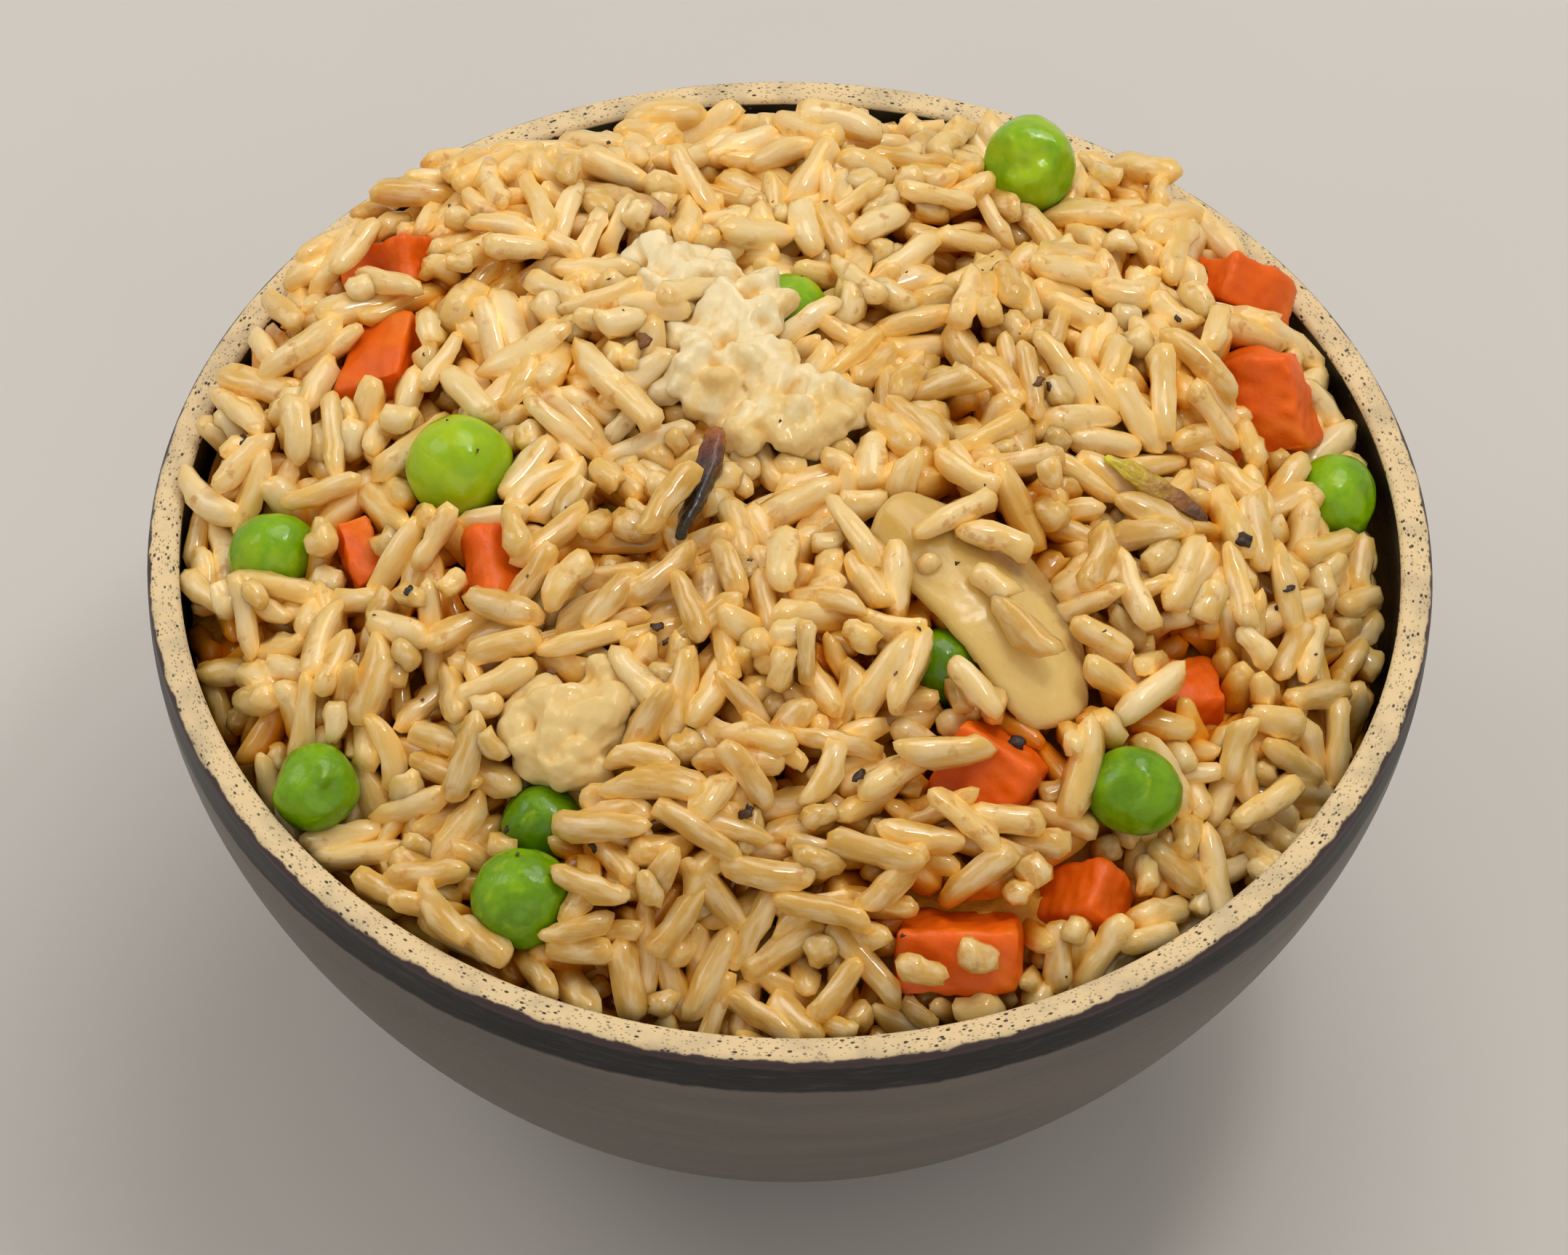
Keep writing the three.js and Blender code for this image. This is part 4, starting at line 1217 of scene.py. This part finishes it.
def keep_in_bowl(balls, radii):
    """How far balls must move to clear the wall, or to lie on the rim where they are above it."""
    flat = np.linalg.norm(balls[:, :2], axis=1)
    z = balls[:, 2]
    bearing = np.arctan2(balls[:, 1], balls[:, 0])
    gap = 0.9 + 0.45 * np.sin(5 * bearing + 1) + 0.35 * np.sin(11 * bearing)
    room = inner_radius(np.minimum(z, BOWL_HEIGHT)) - radii - gap
    over = flat - room
    move = np.zeros_like(balls)
    on_rim = (z > BOWL_HEIGHT - 0.4) & (over > 0)
    lift = np.where(on_rim, np.maximum(BOWL_HEIGHT + radii + 0.1 - z, 0), 0)
    reach = HEAP_RADIUS - radii
    for middle, half_width, extra in OVER_RIM:
        reach = reach + extra * np.exp(-(((np.degrees(bearing) - middle) / half_width) ** 2))
    inward = np.where(on_rim, np.maximum(flat - reach, 0), np.maximum(over, 0))
    sideways = (lift > inward) & on_rim & (flat > reach)
    lift = np.where(sideways, 0, lift)
    inward = np.where(sideways, over, inward)
    move[:, :2] -= balls[:, :2] / flat[:, None] * inward[:, None]
    move[:, 2] += lift
    return move


def push_of_pairs(balls, radii, owner, first, second):
    """How far pairs push each ball, how deep each pair overlaps and how far apart it is."""
    between = balls[first] - balls[second]
    distance = np.linalg.norm(between, axis=1) + 1e-9
    overlap = np.maximum(radii[first] + radii[second] - distance, 0)
    push = between / distance[:, None] * overlap[:, None]
    fixed_first = (owner[first] < 0)[:, None]
    fixed_second = (owner[second] < 0)[:, None]
    move = np.zeros_like(balls)
    np.add.at(move, first, np.where(fixed_second, push, push / 2))
    np.add.at(move, second, -np.where(fixed_first, push, push / 2))
    return move, overlap, distance


# %% Letting the grains settle
def settle(grains, bare, covered):
    """Pushes the grains apart, and leaves out the ones stuck in a topping or over a bare one."""
    obstacles = np.vstack([bare, covered])
    place, axis = grains["place"], grains["axis"]
    offsets = ball_offsets(grains["length"], grains["width"])
    radii = (grains["width"][:, None] / 2 * BALL_TAPER).ravel() * SOFTNESS
    owner = np.repeat(np.arange(len(place)), BALLS)
    all_radii = np.concatenate([radii, obstacles[:, 3]])
    all_owner = np.concatenate([owner, np.full(len(obstacles), -1)])
    moment = (offsets**2).sum(axis=1) + 0.5
    for turn in range(ROUNDS):
        balls = (place[:, None, :] + axis[:, None, :] * offsets[:, :, None]).reshape(-1, 3)
        every = np.vstack([balls, obstacles[:, :3]])
        if turn % SORTED_EVERY == 0:
            first, second = near_pairs(every, PAIR_REACH)
            apart = (all_owner[first] != all_owner[second])
            first, second = first[apart], second[apart]
        move, overlap, distance = push_of_pairs(every, all_radii, all_owner, first, second)
        move = move[:len(balls)] + keep_in_bowl(balls, radii)
        ceiling = local_height(balls[:, 0], balls[:, 1]) + CEILING
        move[:, 2] -= CEILING_PULL * np.maximum(balls[:, 2] + radii - ceiling, 0)
        move = move.reshape(-1, BALLS, 3)
        shift = PUSH * move.sum(axis=1) / 2
        target = heap_height(place[:, 0], place[:, 1]) - grains["depth"]
        shift[:, 2] += LAYER_PULL * (target - place[:, 2])
        turning = (move * offsets[:, :, None]).sum(axis=1) / moment[:, None]
        free = 1 - grains["hold"][:, None]
        place = place + free * np.clip(shift, -LONGEST_MOVE, LONGEST_MOVE)
        axis = axis + free * PUSH * np.clip(turning, -LONGEST_TURN, LONGEST_TURN)
        axis /= np.linalg.norm(axis, axis=1, keepdims=True)
    grains.update(place=place, axis=axis)
    deep = overlap > STUCK
    stuck = np.concatenate([all_owner[first[deep & (all_owner[second] < 0)]],
                            all_owner[second[deep & (all_owner[first] < 0)]]])
    over = np.flatnonzero(lies_over(balls, owner, bare, BARE_REACH, 2))
    past_rim = owner[np.hypot(balls[:, 0], balls[:, 1]) > RIM_RADIUS - RIM_KEPT_CLEAR]
    leave = np.union1d(np.union1d(stuck, over), past_rim).astype(int)
    leave = leave[grains["hold"][leave] == 0]
    kept = np.setdiff1d(np.arange(len(place)), leave)
    grown = np.where(all_owner < 0, all_radii, all_radii / SOFTNESS)
    pressed = (grown[first] + grown[second] - distance)[
        (all_owner[first] >= 0) & (all_owner[second] >= 0)]
    print(f"at full width, touching balls of two grains overlap by "
          f"{pressed[pressed > 0].mean():.2f} mm, {len(leave)} grains left out")
    return {key: value[kept] for key, value in grains.items()}


random = np.random.default_rng(SEED)
bare, covered = topping_balls(OBSTACLE_BALLS), topping_balls(COVERED_BALLS)
grains = settle(lay_out_grains(random, bare), bare, covered)

# %% [markdown]
# ## Grains from Geometry Nodes
# Fourteen whole kinds of grain are modelled, more or less bent, and eight broken across. The
# Geometry Nodes tree puts one on every point, picked, turned and sized by attributes that the
# points carry, then makes the instances real and gives every grain an unevenness of its own by
# moving its points with noise. That way no two grains are the same, though the kinds are few.


# %% Grain kinds
WHOLE_KINDS = 14
BROKEN_KINDS = 8
GRAIN_GRID = (1.8, 2.4, 2.4)         # a grain's own coordinates, shrunk along it so clouds stretch


def make_kinds(name, count, rings, sides, broken):
    collection = bpy.data.collections.new(name)
    for index in range(count):
        pick = np.random.default_rng(SEED + index)
        torn = pick.uniform(0.02, 0.06) if broken else 0.0
        points, faces = grain_shape(rings, sides, SEED + 31 * index, torn)
        kind = mesh_object(f"{name}_{index:02d}", points / MM, faces)
        store(kind, "along", points[:, 0])
        store_vectors(kind, "own", points * GRAIN_GRID * MM)
        bpy.context.scene.collection.objects.unlink(kind)
        collection.objects.link(kind)
    return collection


# %% Scatter tree
def scatter_tree():
    tree = bpy.data.node_groups.new("scatter_grains", "GeometryNodeTree")
    tree.is_modifier = True
    for name, kind in (("Places", "Geometry"), ("Kinds", "Collection"), ("Unevenness", "Float"),
                       ("Lump size", "Float"), ("Material", "Material")):
        tree.interface.new_socket(name, in_out="INPUT", socket_type=f"NodeSocket{kind}")
    tree.interface.new_socket("Grains", in_out="OUTPUT", socket_type="NodeSocketGeometry")
    given = tree.nodes.new("NodeGroupInput").outputs

    def carried(name, data_type):
        kind = "GeometryNodeInputNamedAttribute"
        return node(tree, kind, {"Name": name}, data_type=data_type).outputs["Attribute"]

    kinds = node(tree, "GeometryNodeCollectionInfo", {
        "Collection": given["Kinds"], "Separate Children": True, "Reset Children": True})
    turned = node(tree, "FunctionNodeEulerToRotation", {0: carried("turn", "FLOAT_VECTOR")})
    laid = node(tree, "GeometryNodeInstanceOnPoints", {
        "Points": given["Places"], "Instance": kinds.outputs[0], "Pick Instance": True,
        "Instance Index": carried("kind", "INT"), "Rotation": turned.outputs[0],
        "Scale": carried("size", "FLOAT_VECTOR")})
    real = node(tree, "GeometryNodeRealizeInstances", {"Geometry": laid.outputs[0]})
    cloud = node(tree, "ShaderNodeTexNoise", {
        "Scale": node(tree, "ShaderNodeMath", {0: 1.0, 1: given["Lump size"]},
                      operation="DIVIDE").outputs[0], "Detail": 2.0})
    centred = node(tree, "ShaderNodeVectorMath", {0: cloud.outputs["Color"], 1: (0.5, 0.5, 0.5)},
                   operation="SUBTRACT")
    shift = node(tree, "ShaderNodeVectorMath", {0: centred.outputs[0],
                 "Scale": given["Unevenness"]}, operation="SCALE")
    uneven = node(tree, "GeometryNodeSetPosition", {
        "Geometry": real.outputs[0], "Offset": shift.outputs[0]})
    smooth = node(tree, "GeometryNodeSetShadeSmooth", {"Geometry": uneven.outputs[0]})
    painted = node(tree, "GeometryNodeSetMaterial", {
        "Geometry": smooth.outputs[0], "Material": given["Material"]})
    node(tree, "NodeGroupOutput", {0: painted.outputs[0]})
    return tree


# Painted shade: deeper points of the rice, and its flanks, are coloured a darker amber.
PAINTED_SHADE_FROM = 0.3                     # painted shade shows from this depth on, and fully this much lower
PAINTED_SHADE_OVER = 4.4
PAINTED_SHADE_ASIDE = 0.22                   # and more painted shade on flanks than on tops


def scatter(name, grains, kinds, tree, settings):
    """One plain mesh with a grain of the kinds on each place; sizes are in metres from here."""
    count = len(grains["place"])
    cloud = mesh_object(name, grains["place"], [])
    turns = [turn_to(axis, roll).to_euler() for axis, roll in zip(grains["axis"], grains["roll"])]
    sizes = np.column_stack([grains["length"], grains["width"], grains["width"] * grains["flat"]])
    store_vectors(cloud, "turn", turns)
    store_vectors(cloud, "size", sizes * MM)
    picked = cloud.data.attributes.new("kind", "INT", "POINT")
    picked.data.foreach_set("value", np.arange(count) % len(kinds.objects))
    store(cloud, "tint", grains["tint"])
    modifier = cloud.modifiers.new("scatter", "NODES")
    modifier.node_group = tree
    for label, value in settings.items():
        modifier[tree.interface.items_tree[label].identifier] = value
    modifier[tree.interface.items_tree["Kinds"].identifier] = kinds
    bake_modifiers(cloud)
    points = points_of(cloud)
    # How deep each point lies and how much it faces sideways, stored as sunk for the rice's painted
    # shade.
    under = local_height(points[:, 0], points[:, 1]) - points[:, 2]
    aside = 1 - normals_of(cloud)[:, 2].clip(0, 1)
    store(cloud, "sunk", ((under - PAINTED_SHADE_FROM) / PAINTED_SHADE_OVER + PAINTED_SHADE_ASIDE * aside).clip(0, 1))
    return cloud


# %% [markdown]
# ## Cooked rice
# A grain of fried rice is glassy at the skin and whiter at its core, stained tan by soy sauce where
# it touched the pan. Every grain has its own tint. Grains that lie deeper, and the flanks of grains,
# are painted a darker amber, a painted shade for the gaps, and edges seen at a glancing angle are
# painted amber as if seen through the grain. Light scattering under the skin makes the gaps between
# grains glow warm instead of going black. A wet coat gives the small bright highlights.

# %% Rice material
RICE_WHITE = (0.86, 0.71, 0.44, 1)
RICE_PALE = (0.84, 0.63, 0.30, 1)
RICE_CREAM = (0.75, 0.47, 0.122, 1)
RICE_TAN = (0.60, 0.34, 0.068, 1)
RICE_STAIN = (0.56, 0.24, 0.035, 1)
# Painted light and shade: the colour of edges seen at a glancing angle, used below.
RICE_PAINTED_EDGE = (0.93, 0.60, 0.125, 1)
# Painted shade: colours multiplied in by depth, white where nothing is painted.
PAINTED_SHADE_STOPS = [
    (0.0, (1.0, 1.0, 1.0, 1)),
    (0.3, (0.93, 0.76, 0.38, 1)),
    (0.6, (0.90, 0.52, 0.08, 1)),
    (1.0, (0.88, 0.36, 0.006, 1)),
]
PEPPER = (0.030, 0.018, 0.010, 1)


def make_rice_skin():
    material, tree, shader, place = new_material(
        "rice_skin", Roughness=0.4, IOR=1.25, Specular_IOR_Level=0.2, Subsurface_Weight=0.9,
        Subsurface_Radius=(1.0, 0.76, 0.4), Subsurface_Scale=2.1 * MM, Coat_Weight=0.95,
        Coat_Roughness=0.09)
    shader.subsurface_method = "BURLEY"
    tint = attribute(tree, "tint")
    color = color_ramp(tree, tint, [(0, RICE_PALE), (0.75, RICE_CREAM), (1, RICE_TAN)])
    own = node(tree, "ShaderNodeAttribute", attribute_name="own").outputs["Vector"]
    shifted = node(tree, "ShaderNodeVectorMath", {0: own, 1: tint}, operation="ADD").outputs[0]
    core = step_between(tree, noise(tree, shifted, 0.9, 2), 0.36, 0.68)
    color = tinge(tree, color, RICE_WHITE, core, 0.48)
    end = step_between(tree, calculate(tree, "ABSOLUTE", attribute(tree, "along")), 0.25, 0.5)
    streak = noise(tree, place, 1.0, 3)
    color = blend_colors(tree, product(tree, end, streak), color, RICE_CREAM)
    toasted = product(tree, step_between(
        tree, noise(tree, place, 1.7, 5), 0.56, 0.67), step_between(
            tree, noise(tree, place, 8.0, 1), 0.42, 0.58))
    color = tinge(tree, color, RICE_STAIN, toasted, 0.65)
    # Painted light and shade: where the surface turns away from view, the colour is painted amber, as
    # if seen through the grain's thin edge.
    facing = node(tree, "ShaderNodeLayerWeight", {"Blend": 0.5}).outputs["Facing"]
    edge = product(tree, step_between(tree, facing, 0.3, 0.95), 0.42)
    color = blend_colors(tree, edge, color, RICE_PAINTED_EDGE)
    # Painted shade: deeper points and flanks are multiplied towards amber.
    painted_shade = color_ramp(tree, attribute(tree, "sunk"), PAINTED_SHADE_STOPS)
    color = blend_colors(tree, 1.0, color, painted_shade, "MULTIPLY")
    dust = product(tree, specks(tree, place, 3.4, 0.26), step_between(
        tree, noise(tree, place, 9.0, 1), 0.5, 0.6))
    color = blend_colors(tree, dust, color, PEPPER)
    paint(tree, shader, Base_Color=color)
    raise_surface(tree, shader, noise(tree, place, 1.3, 3), 0.15)
    return material


rice_skin = make_rice_skin()

# %% Scatter the rice
# Paler and browner parts of the heap: x, y, reach and how much browner. The broad browner patch
# at the near side, (0, -46), is painted shade.
TINTS = [
    (-12, 16, 15, -0.4), (4, 36, 12, -0.3), (-19, -24, 8, -0.3), (3, -8, 11, -0.2),
    (14, 12, 12, 0.7), (-9, -12, 6, 0.3), (-34, -14, 12, 0.3), (40, -8, 13, 0.25),
    # the first patch here, across the near side, is painted shade
    (0, -46, 24, 0.9), (-25, -38, 14, 0.5),
]


def tint_of(place, random):
    """How tan each grain is: random, paler near where steam kept the rice wet, and browner in other
    patches; the one at the near side is painted shade.
    """
    tint = random.beta(2.2, 2.0, len(place))
    for x, y, reach, browner in TINTS:
        tint += browner * np.exp(-((place[:, 0] - x) ** 2 + (place[:, 1] - y) ** 2) / reach**2)
    return (tint + 0.1 * lumps(place, 22, SEED)).clip(0, 1)


grains["roll"] = random.uniform(0, 2 * np.pi, len(grains["place"]))
grains["flat"] = random.uniform(0.82, 1.0, len(grains["place"]))
grains["tint"] = tint_of(grains["place"], random)
tree = scatter_tree()
whole_look = {"Unevenness": 1.0 * MM, "Lump size": 1.9 * MM, "Material": rice_skin}
broken_look = {"Unevenness": 1.3 * MM, "Lump size": 1.7 * MM, "Material": rice_skin}
whole = {key: value[~grains["broken"]] for key, value in grains.items()}
parts = {key: value[grains["broken"]] for key, value in grains.items()}
whole_kinds = make_kinds("whole", WHOLE_KINDS, 8, 8, False)
part_kinds = make_kinds("part", BROKEN_KINDS, 6, 8, True)
whole_rice = scatter("rice_whole_grains", whole, whole_kinds, tree, whole_look)
broken_rice = scatter("rice_broken_grains", parts, part_kinds, tree, broken_look)
finish_piece(whole_rice, rice_skin, "rice", "rice")
finish_piece(broken_rice, rice_skin, "rice")

# %% [markdown]
# ## Browned crumbs
# Crumbs of charred onion and cracked pepper stick to the top of the rice. The larger ones have a
# place of their own and the rest are strewn. Each is a rough flake from a ball of eighty faces,
# and the same tree scatters them. A crumb rests on the highest grain or topping under it.

# %% Crumbs
# Larger crumbs: x, y, size and how black
CRUMBS = [
    (-49.3, 7.1, 1.3, 0.9), (-32.7, -15.9, 1.6, 1.0), (-33.4, -14.9, 0.9, 1.0),
    (-11.5, -19.3, 1.3, 0.9), (-10.6, -19.9, 1.0, 0.7), (17.8, 25.1, 1.2, 0.5),
    (19.0, 25.8, 0.9, 0.8), (21.7, 9.0, 1.1, 0.4), (22.6, 9.6, 0.7, 0.8), (44.0, -6.9, 1.4, 1.0),
    (43.4, -7.9, 0.9, 1.0), (-16.3, -39.0, 1.1, 0.9), (-3.5, -37.2, 1.3, 0.8),
    (-3.0, -36.3, 0.8, 1.0), (6.4, -33.0, 1.3, 0.9), (20.2, -27.1, 1.8, 1.0),
    (-13.6, 11.0, 1.8, 0.2), (40.1, -4.2, 1.7, 0.9), (-20.6, -22.6, 0.9, 0.3),
    (-24.0, -36.2, 0.9, 1.0), (34.4, 21.0, 0.8, 0.9), (-9.0, 44.5, 1.0, 0.6),
]
STREWN_CRUMBS = 44
CRUMB_BLACK = (0.022, 0.012, 0.008, 1)
CRUMB_BROWN = (0.26, 0.09, 0.015, 1)


def make_crumb_kinds(count):
    collection = bpy.data.collections.new("crumb")
    for index in range(count):
        kind, points = make_ball(f"crumb_{index}", (0, 0, 0), (0.5, 0.36, 0.2), 2)
        points *= (1 + 0.3 * lumps(points, 0.5, SEED + index))[:, None]
        move_points(kind, points / MM)
        store(kind, "along", points[:, 0])
        bpy.context.scene.collection.objects.unlink(kind)
        collection.objects.link(kind)
    return collection


def lay_crumbs(random, rests):
    x, y, size, black = np.array(CRUMBS).T
    turn = random.uniform(0, 2 * np.pi, STREWN_CRUMBS)
    reach = 50 * np.sqrt(random.random(STREWN_CRUMBS))
    x = np.concatenate([x, reach * np.cos(turn)])
    y = np.concatenate([y, reach * np.sin(turn)])
    size = np.concatenate([size, random.uniform(0.2, 0.5, STREWN_CRUMBS)])
    z = np.array([top_of(rests, *spot, 1.1) for spot in zip(x, y)])
    heading = random.uniform(0, 2 * np.pi, len(x))
    level = np.column_stack([np.cos(heading), np.sin(heading), random.normal(0, 0.3, len(x))])
    return dict(
        place=np.column_stack([x, y, z]), axis=level, length=size, width=size,
        flat=np.ones(len(x)), roll=random.normal(0, 0.4, len(x)),
        tint=np.concatenate([black, random.uniform(0.2, 1, STREWN_CRUMBS)]))


def make_crumb_skin():
    material, tree, shader, place = new_material("browned_crumb", Roughness=0.45)
    black = calculate(tree, "ADD", attribute(tree, "tint"), calculate(
        tree, "SUBTRACT", noise(tree, place, 0.8, 3), 0.5), clamp=True)
    paint(tree, shader, Base_Color=blend_colors(tree, black, CRUMB_BROWN, CRUMB_BLACK))
    raise_surface(tree, shader, noise(tree, place, 0.3, 3), 0.1)
    return material


crumb_skin = make_crumb_skin()
crumb_kinds = make_crumb_kinds(6)
rests = np.vstack([grain_balls(grains), bare, covered])
crumb_look = {"Unevenness": 0.4 * MM, "Lump size": 0.4 * MM, "Material": crumb_skin}
crumbs = scatter("browned_crumbs", lay_crumbs(random, rests), crumb_kinds, tree, crumb_look)
finish_piece(crumbs, crumb_skin, "char")
for kind in [*whole_kinds.objects, *part_kinds.objects, *crumb_kinds.objects]:
    bpy.data.objects.remove(kind)


# %% Packed rice material
# Painted shade: the packed rice is coloured dark amber, standing for the shade in the gaps between the
# loose grains.
PACKED_AMBER = (0.66, 0.25, 0.004, 1)
PACKED_LIGHT = (0.78, 0.36, 0.012, 1)


def make_packed_skin():
    material, tree, shader, place = new_material("packed_rice", Roughness=0.6)
    cloud = noise(tree, place, 2.5, 3)
    color = blend_colors(tree, cloud, PACKED_AMBER, PACKED_LIGHT)
    paint(tree, shader, Base_Color=color)
    raise_surface(tree, shader, noise(tree, place, 1.5, 3), 0.5)
    return material


finish_piece(packed_rice, make_packed_skin(), "rice")

# %% [markdown]
# ## Stage
# A pale floor, a large soft light above and behind, a small one overhead that gives wet things
# their small bright highlights, one from the left and a weak fill from the front. The camera is a
# long lens at a table's distance, looking down by about half a right angle and rolled a little.

# %% Floor, lights and camera
CAMERA_DISTANCE = 800.0
CAMERA_ELEVATION = math.radians(50.31)
CAMERA_ROLL = math.radians(1.505)
AIM = np.array([-0.41, -9.3, BOWL_HEIGHT])
SCALE_AT_AIM = 15.484                  # pixels for each millimetre across
IMAGE_WIDTH = 2156
SENSOR_WIDTH = 36.0
FLOOR_REACH = 900.0
FLOOR_SHADED = (0.62, 0.58, 0.54, 1)
FLOOR_PALE = (0.67, 0.63, 0.585, 1)
LIT_POINT = (0, 0, 0.06)
# Each light's place and width in metres, its power and its colour
LIGHTS = {
    "overhead": ((0.10, 0.24, 0.60), 0.42, 1.28, (1.0, 0.97, 0.93)),
    "window": ((0.16, 0.02, 0.55), 0.08, 0.40, (1.0, 0.99, 0.96)),
    "side": ((-0.42, 0.10, 0.45), 0.30, 0.5, (1.0, 0.98, 0.95)),
    "front": ((0.10, -0.60, 0.35), 0.5, 0.3, (1.0, 0.97, 0.94)),
}
ROOM_COLOR = (1.0, 0.98, 0.95, 1)
ROOM_STRENGTH = 0.5


def add_light(name, place, size, power, color):
    light = bpy.data.lights.new(name, "AREA")
    light.shape = "DISK"
    light.size = size
    light.energy = power
    light.color = color
    lamp = bpy.data.objects.new(name, light)
    lamp.location = place
    aim = Vector(LIT_POINT) - Vector(place)
    lamp.rotation_euler = aim.to_track_quat("-Z", "Y").to_euler()
    bpy.context.scene.collection.objects.link(lamp)


def make_floor():
    corners = [(x * FLOOR_REACH, y * FLOOR_REACH, 0) for x, y in ((-1, -1), (1, -1), (1, 1), (-1, 1))]
    floor = mesh_object("floor", corners, [(0, 1, 2, 3)])
    material, tree, shader, place = new_material("floor", Roughness=0.75)
    cloud = noise(tree, place, 60.0, 2)
    paint(tree, shader, Base_Color=blend_colors(tree, cloud, FLOOR_SHADED, FLOOR_PALE))
    floor.data.materials.append(material)


def make_camera():
    sine, cosine = math.sin(CAMERA_ELEVATION), math.cos(CAMERA_ELEVATION)
    forward = Vector((0, cosine, -sine))
    level_right, level_up = Vector((1, 0, 0)), Vector((0, sine, cosine))
    right = level_right * math.cos(CAMERA_ROLL) + level_up * math.sin(CAMERA_ROLL)
    up = level_up * math.cos(CAMERA_ROLL) - level_right * math.sin(CAMERA_ROLL)
    place = Vector(AIM * MM) - forward * CAMERA_DISTANCE * MM
    camera = bpy.data.objects.new("camera", bpy.data.cameras.new("camera"))
    turned = Matrix((right, up, -forward)).transposed().to_4x4()
    camera.matrix_world = Matrix.Translation(place) @ turned
    camera.data.sensor_width = SENSOR_WIDTH
    camera.data.lens = SCALE_AT_AIM * CAMERA_DISTANCE / IMAGE_WIDTH * SENSOR_WIDTH
    camera.data.clip_start = 0.05
    bpy.context.scene.collection.objects.link(camera)
    bpy.context.scene.camera = camera
    print(f"lens {camera.data.lens:.1f} mm")


make_floor()
make_camera()
for name, settings in LIGHTS.items():
    add_light(name, *settings)
world = bpy.data.worlds.new("studio")
world.use_nodes = True
world.node_tree.nodes["Background"].inputs["Color"].default_value = ROOM_COLOR
world.node_tree.nodes["Background"].inputs["Strength"].default_value = ROOM_STRENGTH
bpy.context.scene.world = world
bpy.context.scene.view_settings.view_transform = "Standard"
